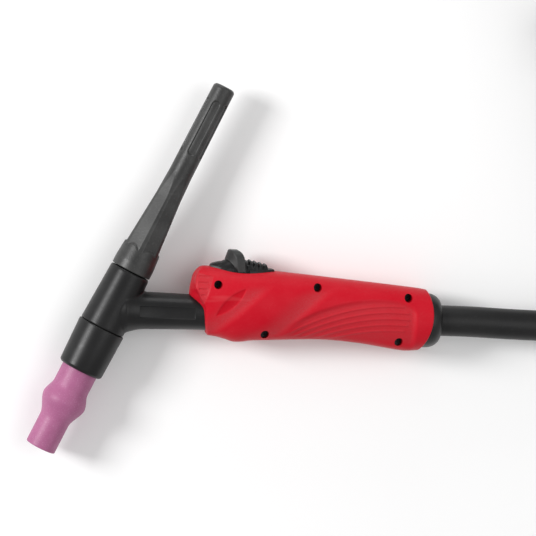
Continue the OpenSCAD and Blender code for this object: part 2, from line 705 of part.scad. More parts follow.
// The handle
module outer_half() {
  n = loft_stations;
  m = loft_sides;
  skin = [for (i = [0:n - 1]) for (j = [0:m])
    let (t = station(i)) section_point(t, 180 * j / m, end_inset(t))];
  mids = [for (i = [0, n - 1]) for (j = [1:m - 1]) let (p = skin[i * (m + 1) + j]) [p[0], p[1], 0]];
  function at(i, j) = i * (m + 1) + j;
  function mid(k, j) = j == 0 || j == m ? at(k * (n - 1), j) : n * (m + 1) + k * (m - 1) + j - 1;
  sides = [for (i = [0:n - 2]) for (j = [0:m - 1])
    each [[at(i, j), at(i + 1, j), at(i + 1, j + 1)], [at(i, j), at(i + 1, j + 1), at(i, j + 1)]]];
  front = [for (j = [0:m - 1]) each [
    if (j > 0) [mid(0, j), at(0, j), at(0, j + 1)],
    if (j == 0) [at(0, 0), at(0, 1), mid(0, 1)],
    if (j > 0 && j < m - 1) [mid(0, j), at(0, j + 1), mid(0, j + 1)]]];
  rear = [for (j = [0:m - 1]) each [
    if (j > 0) [mid(1, j), at(n - 1, j + 1), at(n - 1, j)],
    if (j == 0) [at(n - 1, 0), mid(1, 1), at(n - 1, 1)],
    if (j > 0 && j < m - 1) [mid(1, j), mid(1, j + 1), at(n - 1, j + 1)]]];
  plane = concat([for (j = [0:m]) mid(0, j)], [for (i = [1:n - 2]) at(i, m)],
                 [for (j = [m:-1:0]) mid(1, j)], [for (i = [n - 2:-1:1]) at(i, 0)]);
  polyhedron(concat(skin, mids), concat(sides, front, rear, [plane]), convexity = 8);
}

// Grip ridges of one shell
module grip_ridges() {
  for (k = [0:ridge_count - 1])
    let (p = ridge_route(k), last = len(p) - 1)
      sweep(p, ridge_r, ridge_sides, unit(p[1] - p[0]), unit(p[last] - p[last - 1]));
}

// The leaf-shaped thumb rest, cut from one shell
module thumb_rest() {
  r = (pow(leaf_len, 2) + pow(leaf_w, 2)) / (4 * leaf_w);
  translate([leaf_at[0], leaf_at[1], skin_z(leaf_at[0], leaf_at[1]) - leaf_deep]) rotate([0, 0, 45])
    linear_extrude(height = half_max) intersection() {
      translate([0, r - leaf_w / 2]) circle(r = r);
      translate([0, leaf_w / 2 - r]) circle(r = r);
    }
}

module moulded_half() {
  difference() {
    union() {
      outer_half();
      grip_ridges();
    }
    thumb_rest();
  }
}

// The room inside both shells
module cavity() {
  n = 22;
  m = 20;
  span = cavity_end - cavity_start;
  low_at = front_u(-low_front);
  rings = [for (i = [0:n - 1]) for (j = [0:m - 1])
    let (
      u = cavity_start + span * i / (n - 1),
      t = (u - low_at) / (back_u(0) - low_at),
      a = 360 * (j + 0.5) / m,
      under_base = u < base_mid + base_len / 2 + 3,
      top = min(line_at(top_line, t) - wall, under_base ? pocket_floor - wall : top_front),
      low = line_at(low_line, t) + wall,
      half = line_at(half_line, t) - wall - palm_depth,
      e = 2 / line_at(squareness, t)
    ) [u, (top + low) / 2 + (top - low) / 2 * sign(cos(a)) * pow(abs(cos(a)), e),
       half * sign(sin(a)) * pow(abs(sin(a)), e)]];
  skin = [for (i = [0:n - 2]) for (j = [0:m - 1])
    let (a = i * m + j, b = i * m + (j + 1) % m) each [[a, a + m, b + m], [a, b + m, b]]];
  first = [[for (j = [0:m - 1]) j]];
  last = [[for (j = [m - 1:-1:0]) (n - 1) * m + j]];
  polyhedron(rings, concat(skin, first, last), convexity = 8);
}

// The oval of the trigger's base, seen from above, with its long side on X
module base_oval(grow) {
  tip = 3;
  r = (pow(base_len + 2 * tip, 2) + pow(base_w, 2)) / (4 * base_w);
  intersection() {
    translate([0, r - base_w / 2]) circle(r = r + grow);
    translate([0, base_w / 2 - r]) circle(r = r + grow);
    square([base_len + 2 * grow, base_w * 2], center = true);
  }
}

module base_prism(grow, low, high) {
  translate([base_mid, high, 0]) rotate([90, 0, 0]) linear_extrude(height = high - low) base_oval(grow);
}

// What stays standing inside the shells: bosses, ledges for the board and ribs for the clamp
module inside_stays() {
  deep = 2 * half_max;
  for (p = screw_places) translate([p[0], p[1], -deep / 2]) cylinder(d = boss_d, h = deep);
  for (s = [-1, 1]) {
    translate([cavity_start - 1, board_low - 1.6, s > 0 ? 5 : -deep / 2])
      cube([board_len + 2, 1.6 - fit, deep / 2 - 5]);
    translate([clamp_u + s * (clamp_len / 2 + fit + rib_t / 2), 0, 0])
      cube([rib_t, deep, deep], center = true);
  }
}

module shell_cuts() {
  slot_len_u = 2 * (saddle_r * sin(trigger_tilt) + 4);
  lever_slot_w = base_w - 4.2;
  difference() {
    cavity();
    inside_stays();
  }
  axis_rod(neck_r + fit, 0, cavity_start + gap);
  axis_rod(clamp_r + fit, clamp_u - clamp_len, clamp_u + clamp_len);
  translate([clamp_u - clamp_len, clamp_r, -wire_z - 2 * wire_r])
    cube([2 * clamp_len, wire_v + 2 * wire_r - clamp_r, 2 * wire_z + 4 * wire_r]);
  axis_rod(boot_flange_r + fit, cavity_end - boot_flange_t - gap, cavity_end, boot_v);
  axis_rod(boot_neck_r + fit, cavity_end - 1, 2 * handle_rear, boot_v);
  axis_rod(boot_r + fit, boot_start, 2 * handle_rear, boot_v);
  base_prism(run_fit, pocket_floor, 2 * top_front);
  translate([pin_u - slot_len_u / 2, pin_v, -lever_slot_w / 2])
    cube([slot_len_u, top_front - pin_v, lever_slot_w]);
}

module handle_shell_near() {
  color("crimson") on_handle() difference() {
    moulded_half();
    shell_cuts();
    translate([0, -half_max * 2, -1]) cube([2 * handle_rear, 4 * half_max, 1 + parting / 2]);
    for (p = screw_places) translate([p[0], p[1], 0]) {
      translate([0, 0, screw_ledge]) cylinder(d = screw_pocket_d, h = 2 * half_max);
      translate([0, 0, -1]) cylinder(d = screw_d + 2 * run_fit, h = half_max);
    }
  }
}

module handle_shell_far() {
  color("firebrick") on_handle() difference() {
    mirror([0, 0, 1]) moulded_half();
    shell_cuts();
    translate([0, -half_max * 2, -parting / 2]) cube([2 * handle_rear, 4 * half_max, 1]);
    for (p = screw_places) translate([p[0], p[1], -screw_bite - 0.6])
      cylinder(d = screw_d + 2 * fit, h = half_max);
  }
}

module handle_screws() {
  head_t = 1.8;
  color("dimgray") on_handle() for (p = screw_places) translate([p[0], p[1], 0]) difference() {
    union() {
      translate([0, 0, -screw_bite]) cylinder(d = screw_d, h = screw_bite + screw_ledge + 1);
      translate([0, 0, screw_ledge]) cylinder(d = screw_head_d, h = head_t);
    }
    translate([0, 0, screw_ledge + head_t - 1]) cylinder(d = screw_d * 0.9, h = 2, $fn = 6);
  }
}

// The trigger
module trigger_base() {
  front = base_mid - base_len / 2;
  rear = base_mid + base_len / 2;
  ramp_end = pin_u - 7.4;
  rib_from = pin_u + 7.2;
  rib_to = rear - 2.6;
  rib_top = pin_v + saddle_r + 0.4;
  rib_low = top_front + 0.9;
  tip_v = top_front - 0.4;
  pitch = (rib_to - rib_from) / rib_count;
  half_a = asin((rib_from - pin_u) / saddle_r);
  crown_r = 16;
  lug_in = 3.4;
  lug_t = 2;
  lug_half = 2.6;
  slot_half_u = 2.2 + saddle_r * sin(trigger_tilt) + gap;
  side_profile = concat(
    [[front, pocket_floor + fit], [front, tip_v], [ramp_end - 3, tip_v + 1.7]],
    [for (i = [0:10]) let (a = lerp(asin((ramp_end - pin_u) / saddle_r), half_a, i / 10))
      [pin_u + saddle_r * sin(a), pin_v + saddle_r * cos(a)]],
    [for (i = [0:rib_count - 1]) let (u = rib_from + pitch * i, v = lerp(rib_top, rib_low, i / rib_count))
      each [[u + 0.02, v - rib_h], [u + pitch * 0.35, v], [u + pitch * 0.7, v - 0.1]]],
    [[rib_to, rib_low - rib_h], [rear, tip_v - 0.6], [rear, pocket_floor + fit]]);
  color("black") on_handle() difference() {
    union() {
      intersection() {
        base_prism(0, pocket_floor + fit, top_front + 12);
        translate([0, 0, -base_w]) linear_extrude(height = 2 * base_w) polygon(side_profile);
        union() {
          axis_rod(crown_r, base_mid - base_len, base_mid + base_len, pin_v + saddle_r + 0.6 - crown_r);
          translate([ramp_end, 0, -base_w]) cube([rib_from - ramp_end, 2 * top_front, 2 * base_w]);
        }
      }
      for (s = [-1, 1]) translate([pin_u - lug_half, pin_v - lug_half, s > 0 ? lug_in : -lug_in - lug_t])
        cube([2 * lug_half, pocket_floor - pin_v + lug_half + 1, lug_t]);
    }
    translate([pin_u - slot_half_u, pin_v - lug_half - 1, -lug_in])
      cube([2 * slot_half_u, saddle_r * 2, 2 * lug_in]);
    translate([pin_u, pin_v, -base_w]) cylinder(d = pin_d + 2 * fit, h = 2 * base_w);
  }
}

module trigger_lever() {
  foot_r = saddle_r + gap;
  stem_z = 3;
  stem_u = 2.1;
  hub_r = 2.6;
  front_u0 = -5.8;
  rear_u0 = 5.4;
  top_v = foot_r + fin_h;
  fin_side = concat(
    [for (i = [0:8]) let (a = lerp(asin(rear_u0 / foot_r), asin(front_u0 / foot_r), i / 8))
      [foot_r * sin(a), foot_r * cos(a)]],
    arc([front_u0 + 4, top_v - 1.2], 1.2, 150, 90, 4),
    arc([front_u0 + 6.4, top_v - 1.6], 1.6, 90, 35, 4));
  arch_r = fin_w / 2;
  color("black") on_handle() translate([pin_u, pin_v, 0]) difference() {
    union() {
      intersection() {
        translate([0, 0, -fin_w]) linear_extrude(height = 2 * fin_w) polygon(fin_side);
        translate([0, top_v - arch_r, 0]) rotate([0, 90, 0]) union() {
          translate([0, 0, -fin_w]) cylinder(r = arch_r, h = 2 * fin_w);
          translate([-arch_r, -2 * fin_w, -fin_w]) cube([2 * arch_r, 2 * fin_w, 2 * fin_w]);
        }
      }
      translate([-stem_u, 0, -stem_z]) cube([2 * stem_u, foot_r + 1, 2 * stem_z]);
      translate([0, 0, -stem_z]) cylinder(r = hub_r, h = 2 * stem_z);
      translate([-bar_half, bar_low - pin_v, -stem_z]) cube([2 * bar_half, bar_t, 2 * stem_z]);
      translate([-stem_u, bar_low - pin_v, -stem_z]) cube([2 * stem_u, pin_v - bar_low, 2 * stem_z]);
    }
    translate([0, 0, -fin_w]) cylinder(d = pin_d + 2 * run_fit, h = 2 * fin_w);
  }
}

module trigger_pin() {
  pin_half = 5.4;
  color("silver") on_handle() translate([pin_u, pin_v, -pin_half]) cylinder(d = pin_d, h = 2 * pin_half);
}

module switch_board() {
  color("darkgreen") on_handle() translate([cavity_start + 0.4, board_low, -board_w / 2])
    cube([board_len, board_t, board_w]);
}

module tact_switches() {
  half = 2.2;
  plate_h = 0.9;
  color("dimgray") on_handle() for (s = [-1, 1])
    translate([pin_u + s * switch_offset, board_low + board_t + fit, 0]) {
      translate([-half, 0, -half]) cube([2 * half, plate_h, 2 * half]);
      rotate([-90, 0, 0]) cylinder(d = 2.4, h = switch_h);
    }
}

module control_wires() {
  start = [cavity_start + 0.4 + board_len + fit, board_low + board_t / 2];
  last = [cavity_end - boot_flange_t - fit, wire_low_v];
  over = tube_end - 9;
  route = [start, start + [4, 0], [over, wire_v - 1.4], [over + 7, wire_v - 0.1], [over + 21, wire_v],
           [clamp_u - 12, wire_v], [clamp_u + 9, wire_v], last + [-8.4, 0.9], last + [-4.4, 0], last];
  color("gold") on_handle() for (s = [-1, 1])
    sweep([for (p = route) [p[0], p[1], s * wire_z]], wire_r, 8, [1, 0, 0], [1, 0, 0]);
}

module hose_fitting() {
  bite = 8;
  hex_r = tube_r + 2.6;
  color("goldenrod") on_handle() difference() {
    union() {
      translate([tube_end - bite, 0, 0]) rotate([0, 90, 0])
        cylinder(r = hex_r, h = fitting_len - 4, $fn = 6);
      axis_rod(power_hose_r - 0.2, tube_end - bite, tube_end - bite + fitting_len);
    }
    axis_rod(tube_r + fit, tube_end - bite - 1, tube_end + fit);
    axis_rod(tube_r - tube_wall, tube_end - 1, tube_end + fitting_len);
  }
}

module power_hose() {
  from = tube_end - 8 + fitting_len + fit;
  color("dimgray") on_handle() difference() {
    axis_rod(power_hose_r, from, cavity_end - boot_flange_t - fit);
    axis_rod(power_hose_r - 2, from - 1, cavity_end);
  }
}

module cable_clamp() {
  color("gray") on_handle() difference() {
    union() {
      axis_rod(clamp_r, clamp_u - clamp_len / 2 - 3, clamp_u + clamp_len / 2 + 3);
      axis_rod(clamp_r + 1.4, clamp_u - clamp_len / 2, clamp_u + clamp_len / 2);
    }
    axis_rod(power_hose_r + fit, clamp_u - clamp_len, clamp_u + clamp_len);
    translate([clamp_u - clamp_len, 0, -0.4]) cube([2 * clamp_len, 2 * clamp_r, 0.8]);
  }
}

// The boot grips the shells' rear wall in its groove, and the hose butts on its end
module rear_boot() {
  length = boot_end - boot_start;
  bulge = 7.2;
  color("black") on_handle() translate([boot_start, boot_v, 0]) rotate([0, 90, 0]) difference() {
    rotate_extrude() polygon(concat(
      [[0, -rear_wall - boot_flange_t], [boot_flange_r, -rear_wall - boot_flange_t],
       [boot_flange_r, -rear_wall - fit],
       [boot_neck_r, -rear_wall - fit], [boot_neck_r, fit], [boot_r, fit]],
      [for (i = [0:10]) let (a = 9 * i) [lerp(boot_end_r, boot_r, cos(a)), length - bulge + bulge * sin(a)]],
      [[0, length]]));
    translate([0, 0, -rear_wall - boot_flange_t - 1])
      cylinder(r = power_hose_r - 2, h = length + rear_wall + boot_flange_t - 1);
  }
}

// The hose
module hose_run() {
  color("black") sweep(run_points, hose_d / 2, hose_sides, exit_dir, [1, 0, 0]);
}
module hose_coil() {
  color("black") sweep(coil_points, hose_d / 2, loop_sides, [1, 0, 0], [-1, 0, 0]);
}
module hose_tail() {
  color("black") sweep(tail_points, hose_d / 2, hose_sides, [-1, 0, 0], [-1, 0, 0]);
}

// A ring of strap round the bundle of turns
module coil_ties() {
  room = 0.8;
  inner = [coil_in_r - coil_pitch / 6 - hose_d / 2 - room, coil_out_r + hose_d / 2 + room];
  low = coil_z - hose_d / 2 - tie_gap;
  high = coil_z + layer_h + hose_d / 2 + room;
  corner = 6;
  module outline(grow) {
    a = [inner[0] - grow, low - grow];
    b = [inner[1] + grow, high + grow];
    r = corner + grow;
    for (x = [a[0] + r, b[0] - r]) for (y = [a[1] + r, b[1] - r]) translate([x, y]) circle(r = r);
    translate([a[0] + r, a[1]]) square([b[0] - a[0] - 2 * r, b[1] - a[1]]);
    translate([a[0], a[1] + r]) square([b[0] - a[0], b[1] - a[1] - 2 * r]);
  }
  color("dimgray") for (turn = [45, 165, 305]) translate(coil_at) rotate([90, 0, turn])
    linear_extrude(height = tie_w, center = true) difference() {
      outline(tie_t);
      outline(0);
    }
}

// The connector on the hose's far end: its axis runs along -X
module on_connector() {
  translate(relief_at) rotate([0, -90, 0]) children();
}

module connector_relief() {
  grooves = 5;
  groove_w = 2.2;
  groove_depth = 0.6;
  root_r = plug_r - 3;
  root_len = 4;
  tip_r = hose_d / 2 + 1.4;
  first = 5;
  step = (relief_len - root_len - first - 1) / grooves;
  color("black") on_connector() rotate_extrude() difference() {
    polygon(concat([[0, 0]], arc([tip_r - 1, 1], 1, -90, 0, 3),
                   [[root_r, relief_len - root_len], [root_r, relief_len], [0, relief_len]]));
    for (i = [0:grooves - 1])
      translate([lerp(tip_r, root_r, i / grooves) - groove_depth, first + step * i])
        square([plug_r, groove_w]);
  }
}

module connector_body() {
  edge = 1.2;
  color("black") on_connector() translate([0, 0, body_at]) difference() {
    rotate_extrude() polygon(concat(
      [[0, 0]],
      arc([plug_r - edge, edge], edge, -90, 0, 4),
      [[plug_r, plug_len - 12], [collar_r, plug_len - 12], [collar_r, nut_groove_at],
       [nut_groove_r, nut_groove_at], [nut_groove_r, nut_groove_at + nut_groove_w],
       [collar_r, nut_groove_at + nut_groove_w], [collar_r, collar_end], [0, collar_end]]));
    translate([0, 0, pin_root_at]) cylinder(r = pin_root_r + fit, h = collar_end);
    for (s = [-1, 1])
      translate([0, s * contact_offset, contact_at]) cylinder(d = contact_d + 2 * fit, h = collar_end);
  }
}

// The nut's inner rib runs in the housing's groove
module connector_nut() {
  bore_r = collar_r + gap;
  edge = 1;
  rib_low = nut_groove_at + gap - (nut_at - body_at);
  rib_high = rib_low + nut_groove_w - 2 * gap;
  color("dimgray") on_connector() translate([0, 0, nut_at]) difference() {
    rotate_extrude() difference() {
      polygon(concat([[0, 0]], arc([nut_r - edge, edge], edge, -90, 0, 3),
                     arc([nut_r - edge, nut_len - edge], edge, 0, 90, 3), [[0, nut_len]]));
      translate([0, -1]) square([bore_r, rib_low + 1]);
      translate([0, -1]) square([nut_groove_r + gap, nut_len + 2]);
      translate([0, rib_high]) square([bore_r, nut_len]);
    }
    for (i = [0:nut_ribs - 1]) rotate([0, 0, 360 * i / nut_ribs]) translate([nut_r + 0.6, 0, 3])
      cylinder(r = 1.5, h = nut_len - 6);
  }
}

module connector_pin() {
  edge = 1;
  root = collar_end - pin_root_at;
  length = root + power_pin_len;
  low = body_at + pin_root_at + fit;
  color("gold") on_connector() translate([0, 0, low]) rotate_extrude() difference() {
    polygon([[0, 0], [pin_root_r, 0], [pin_root_r, root], [power_pin_d / 2, root],
             [power_pin_d / 2, length - edge], [power_pin_d / 2 - edge, length], [0, length]]);
    translate([0, 6]) square([gas_way_d / 2, length]);
  }
}

module control_contacts() {
  length = collar_end - contact_at - 1;
  color("gold") on_connector() for (s = [-1, 1])
    translate([0, s * contact_offset, body_at + contact_at + fit]) cylinder(d = contact_d, h = length);
}

gas_nozzle();
sealing_sleeve();
torch_head();
head_core();
neck_tube();
collet_body();
collet();
back_cap();
cap_seal();
handle_shell_near();
handle_shell_far();
handle_screws();
trigger_base();
trigger_lever();
trigger_pin();
switch_board();
tact_switches();
control_wires();
hose_fitting();
power_hose();
cable_clamp();
rear_boot();
hose_run();
hose_coil();
hose_tail();
coil_ties();
connector_relief();
connector_body();
connector_nut();
connector_pin();
control_contacts();
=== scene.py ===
"""Looks of a gas-cooled TIG welding torch that lies on its side on a pale bench.

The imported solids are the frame. New pieces are modelled in millimetres in the frame of the head
or of the handle, placed there, and turned into metres.
"""

from __future__ import annotations

import json
import logging
import math
import sys
from contextlib import contextmanager
from dataclasses import dataclass
from enum import Enum
from typing import Callable, Iterator, Sequence

import bpy
from mathutils import Matrix, Vector

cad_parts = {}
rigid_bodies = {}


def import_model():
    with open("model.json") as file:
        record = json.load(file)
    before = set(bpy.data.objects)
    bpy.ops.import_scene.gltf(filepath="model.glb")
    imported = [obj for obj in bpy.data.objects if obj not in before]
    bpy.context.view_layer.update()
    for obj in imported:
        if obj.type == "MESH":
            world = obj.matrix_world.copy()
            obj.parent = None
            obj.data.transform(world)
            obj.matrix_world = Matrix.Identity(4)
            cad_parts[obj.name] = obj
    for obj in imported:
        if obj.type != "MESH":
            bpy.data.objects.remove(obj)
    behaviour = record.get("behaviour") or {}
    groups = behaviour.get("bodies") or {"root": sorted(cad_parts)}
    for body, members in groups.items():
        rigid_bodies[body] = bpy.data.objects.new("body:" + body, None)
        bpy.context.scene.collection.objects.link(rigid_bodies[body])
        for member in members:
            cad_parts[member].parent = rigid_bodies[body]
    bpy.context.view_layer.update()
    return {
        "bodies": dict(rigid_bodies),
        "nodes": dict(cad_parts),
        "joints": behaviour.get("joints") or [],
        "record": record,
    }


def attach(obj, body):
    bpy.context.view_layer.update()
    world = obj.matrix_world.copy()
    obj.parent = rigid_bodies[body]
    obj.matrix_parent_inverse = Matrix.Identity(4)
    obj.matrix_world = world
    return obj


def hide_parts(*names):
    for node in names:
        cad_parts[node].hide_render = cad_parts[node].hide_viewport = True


LOG = logging.getLogger("torch")
MM = 0.001
HALF_TURN = 180.0
FULL_TURN = 360.0
AXIS_ALONG_X = Matrix.Rotation(math.pi / 2, 4, "Y")
AXIS_ALONG_Y = Matrix.Rotation(-math.pi / 2, 4, "X")
Point = tuple[float, float]
Point3 = tuple[float, float, float]


class Cut(Enum):
    """Ways to join two solids."""

    AWAY = "DIFFERENCE"
    TOGETHER = "UNION"


class Solver(Enum):
    """Blender's ways to work out a cut."""

    EXACT = "EXACT"
    MANIFOLD = "MANIFOLD"


class Pick(Enum):
    """Kinds of element that edit mode selects."""

    CORNERS = "VERT"
    FACES = "FACE"


class Sum(Enum):
    """Operations of the Math node."""

    PRODUCT = "MULTIPLY"
    TOTAL = "ADD"
    LARGER = "MAXIMUM"


class Side(Enum):
    """The two halves of the handle."""

    NEAR = "near"
    FAR = "far"


# Lines and curves


def lerp(a: float, b: float, t: float) -> float:
    """Returns the value a share t of the way from a to b."""
    return a + (b - a) * t


def smooth(t: float) -> float:
    """Returns an eased step from 0 to 1 as t goes from 0 to 1."""
    c = min(1.0, max(0.0, t))
    return c * c * (3 - 2 * c)


def crown(x: float, power: float) -> float:
    """Returns the height of an arch, 1 at x = 0 and 0 at x = 1, squarer with a higher power."""
    return max(0.0, 1 - abs(x) ** power) ** (1 / power)


def rounding(radius: float, past: float) -> float:
    """Returns how far a rounded edge falls away, a share of its radius past where it starts."""
    c = min(1.0, max(0.0, past))
    return radius * (1 - math.sqrt(1 - c * c))


def squared(x: float, power: float) -> float:
    """Returns a sine or cosine raised to a power, with its sign kept."""
    return math.copysign(abs(x) ** power, x)


def arc(centre: Point, radius: float, first: float, last: float, steps: int = 8) -> list[Point]:
    """Points of a round stretch of an outline.

    Args:
        centre: Centre of the arc.
        radius: Radius of the arc.
        first: Angle of its first point, in degrees.
        last: Angle of its last point, in degrees.
        steps: Number of chords.

    Returns:
        The points from first to last.
    """
    angles = [math.radians(lerp(first, last, i / steps)) for i in range(steps + 1)]
    return [(centre[0] + radius * math.cos(a), centre[1] + radius * math.sin(a)) for a in angles]


@dataclass(frozen=True)
class FairLine:
    """A smooth line through a few given points, the same as in the solid model."""

    points: tuple[Point, ...]

    def slope(self, i: int) -> float:
        """Returns the line's slope at its point i."""
        a, b = self.points[max(0, i - 1)], self.points[min(len(self.points) - 1, i + 1)]
        return (b[1] - a[1]) / (b[0] - a[0])

    def at(self, x: float) -> float:
        """Height of the line.

        Args:
            x: Place along the line.

        Returns:
            The height there, level past the ends.
        """
        x = min(self.points[-1][0], max(self.points[0][0], x))
        i = 0
        while i < len(self.points) - 2 and x >= self.points[i + 1][0]:
            i += 1
        (x0, y0), (x1, y1) = self.points[i], self.points[i + 1]
        d = x1 - x0
        t = (x - x0) / d
        start = (1 + 2 * t) * (1 - t) ** 2 * y0 + t * (1 - t) ** 2 * d * self.slope(i)
        return start + t * t * (3 - 2 * t) * y1 - t * t * (1 - t) * d * self.slope(i + 1)


# Modelling moves


def activate(obj: bpy.types.Object) -> None:
    """Selects one object alone and makes it active.

    Args:
        obj: The object.
    """
    bpy.ops.object.select_all(action="DESELECT")
    obj.select_set(True)
    bpy.context.view_layer.objects.active = obj


@contextmanager
def editing(obj: bpy.types.Object, pick: Pick = Pick.CORNERS) -> Iterator[None]:
    """Opens an object in edit mode with all of it selected.

    Args:
        obj: Object to edit.
        pick: Kind of element to select.

    Returns:
        A context that goes back to object mode at its end.
    """
    activate(obj)
    bpy.ops.object.mode_set(mode="EDIT")
    bpy.ops.mesh.select_mode(type=pick.value)
    bpy.ops.mesh.select_all(action="SELECT")
    try:
        yield
    finally:
        bpy.ops.object.mode_set(mode="OBJECT")


def apply_tool(obj: bpy.types.Object, kind: str, **settings: object) -> bpy.types.Object:
    """Adds a modifier to an object and applies it.

    Args:
        obj: Object to change.
        kind: Blender's name of the modifier.
        settings: Values of the modifier's own properties.

    Returns:
        The same object.
    """
    activate(obj)
    tool = obj.modifiers.new(kind.lower(), kind)
    for key, value in settings.items():
        setattr(tool, key, value)
    bpy.ops.object.modifier_apply(modifier=tool.name)
    return obj


def new_mesh(
    name: str,
    points: Sequence[Point3],
    edges: Sequence[tuple[int, int]] = (),
    faces: Sequence[Sequence[int]] = (),
) -> bpy.types.Object:
    """Makes a mesh object from points.

    Args:
        name: Name of the piece.
        points: Its corners.
        edges: Its loose edges.
        faces: Its faces.

    Returns:
        The new object.
    """
    mesh = bpy.data.meshes.new(name)
    mesh.from_pydata(points, edges, faces)
    obj = bpy.data.objects.new(name, mesh)
    bpy.context.scene.collection.objects.link(obj)
    return obj


def close_up(obj: bpy.types.Object, merge: float = 1e-5) -> bpy.types.Object:
    """Merges doubled points and turns all faces outwards.

    Args:
        obj: Mesh to mend.
        merge: Distance within which points are one.

    Returns:
        The same object.
    """
    with editing(obj):
        bpy.ops.mesh.remove_doubles(threshold=merge)
        bpy.ops.mesh.normals_make_consistent(inside=False)
    return obj


def quads(rows: int, n: int, first: int = 0, ring: bool = True) -> list[list[int]]:
    """Faces between neighbouring rows of points.

    Args:
        rows: Number of rows.
        n: Points in a row.
        first: Number of the first point.
        ring: True if each row closes on itself.

    Returns:
        The corners of the faces.
    """
    faces = []
    for i in range(rows - 1):
        low, high = first + i * n, first + (i + 1) * n
        for k in range(n if ring else n - 1):
            faces.append([low + k, high + k, high + (k + 1) % n, low + (k + 1) % n])
    return faces


def lofted(name: str, rows: Sequence[Sequence[Point3]]) -> bpy.types.Object:
    """Skins closed rows of points one after the other and closes both ends.

    Args:
        name: Name of the piece.
        rows: The rows, each with as many points as the others.

    Returns:
        A closed mesh.
    """
    n = len(rows[0])
    points = [point for row in rows for point in row]
    ends = [list(range(n)), list(range(len(points) - n, len(points)))]
    return close_up(new_mesh(name, points, faces=quads(len(rows), n) + ends))


def turned(name: str, outline: Sequence[Point], steps: int = 128) -> bpy.types.Object:
    """Turns an outline about the Z axis, as on a lathe.

    Args:
        name: Name of the piece.
        outline: Points as radius and height. A point at radius 0 closes the piece.
        steps: Number of facets round the axis.

    Returns:
        A closed mesh. An outline that does not start on the axis is closed on itself.
    """
    points = [(r, 0.0, z) for r, z in outline]
    edges = [(i, i + 1) for i in range(len(points) - 1)]
    if outline[0][0] > 0:
        edges.append((len(points) - 1, 0))
    obj = new_mesh(name, points, edges)
    with editing(obj):
        bpy.ops.mesh.spin(steps=steps, angle=2 * math.pi, center=(0, 0, 0), axis=(0, 0, 1))
    return close_up(obj, 1e-4)


def pushed(name: str, outline: Sequence[Point], low: float, high: float) -> bpy.types.Object:
    """Pushes a flat outline out along Z.

    Args:
        name: Name of the piece.
        outline: Points as X and Y.
        low: Where the prism starts.
        high: Where it ends.

    Returns:
        A closed prism.
    """
    obj = new_mesh(name, [(x, y, low) for x, y in outline], faces=[list(range(len(outline)))])
    with editing(obj, Pick.FACES):
        bpy.ops.mesh.extrude_region_move(TRANSFORM_OT_translate={"value": (0, 0, high - low)})
    return close_up(obj)


def named_primitive(name: str) -> bpy.types.Object:
    """Names the primitive just added and puts its place and size into its mesh.

    Args:
        name: Name of the piece.

    Returns:
        The primitive.
    """
    obj = bpy.context.object
    obj.name = name
    bpy.ops.object.transform_apply(location=True, rotation=True, scale=True)
    return obj


def rod(name: str, radius: float, low: float, high: float, sides: int = 96) -> bpy.types.Object:
    """Adds a cylinder along Z from one height to another.

    Args:
        name: Name of the piece.
        radius: Its radius.
        low: Where it starts.
        high: Where it ends.
        sides: Number of facets.

    Returns:
        The new object.
    """
    bpy.ops.object.select_all(action="DESELECT")
    bpy.ops.mesh.primitive_cylinder_add(
        vertices=sides, radius=radius, depth=high - low, location=(0, 0, (low + high) / 2)
    )
    return named_primitive(name)


def block(name: str, low: Point3, high: Point3) -> bpy.types.Object:
    """Adds a box between two corners.

    Args:
        name: Name of the piece.
        low: Lowest corner.
        high: Highest corner.

    Returns:
        The new object.
    """
    bpy.ops.object.select_all(action="DESELECT")
    bpy.ops.mesh.primitive_cube_add(size=1, location=[(a + b) / 2 for a, b in zip(low, high)])
    bpy.context.object.scale = [b - a for a, b in zip(low, high)]
    return named_primitive(name)


def moved(obj: bpy.types.Object, matrix: Matrix) -> bpy.types.Object:
    """Moves a mesh itself, so that its object stays at the origin.

    Args:
        obj: Object to move.
        matrix: Where to.

    Returns:
        The same object.
    """
    activate(obj)
    obj.matrix_world = matrix
    bpy.ops.object.transform_apply(location=True, rotation=True, scale=True)
    return obj


def combine(
    obj: bpy.types.Object,
    other: bpy.types.Object,
    way: Cut = Cut.AWAY,
    solver: Solver = Solver.MANIFOLD,
) -> bpy.types.Object:
    """Cuts a solid with another, or joins the two, and deletes the other.

    Args:
        obj: Solid that stays.
        other: Solid that is used up.
        way: What is done.
        solver: How it is worked out.

    Returns:
        The solid that stays.
    """
    apply_tool(obj, "BOOLEAN", operation=way.value, object=other, solver=solver.value)
    bpy.data.objects.remove(other, do_unlink=True)
    return obj


def eased(obj: bpy.types.Object, width: float, segments: int, angle: float) -> bpy.types.Object:
    """Rounds the sharp edges of a piece.

    Args:
        obj: Piece to round.
        width: Width of the rounding.
        segments: Facets across it.
        angle: Edges sharper than this, in degrees, are rounded.

    Returns:
        The same object.
    """
    return apply_tool(
        obj,
        "BEVEL",
        width=width,
        segments=segments,
        limit_method="ANGLE",
        angle_limit=math.radians(angle),
        harden_normals=False,
    )


def soften(
    obj: bpy.types.Object, share: Callable[[Vector], float], rounds: int
) -> bpy.types.Object:
    """Smooths a zone of a skin.

    Args:
        obj: Piece to smooth.
        share: How much a point is smoothed, from 0 to 1.
        rounds: How often.

    Returns:
        The same object.
    """
    zone = obj.vertex_groups.new(name="zone")
    for vertex in obj.data.vertices:
        weight = share(vertex.co)
        if weight > 0:
            zone.add([vertex.index], weight, "REPLACE")
    apply_tool(obj, "SMOOTH", factor=0.5, iterations=rounds, vertex_group=zone.name)
    obj.vertex_groups.clear()
    return obj


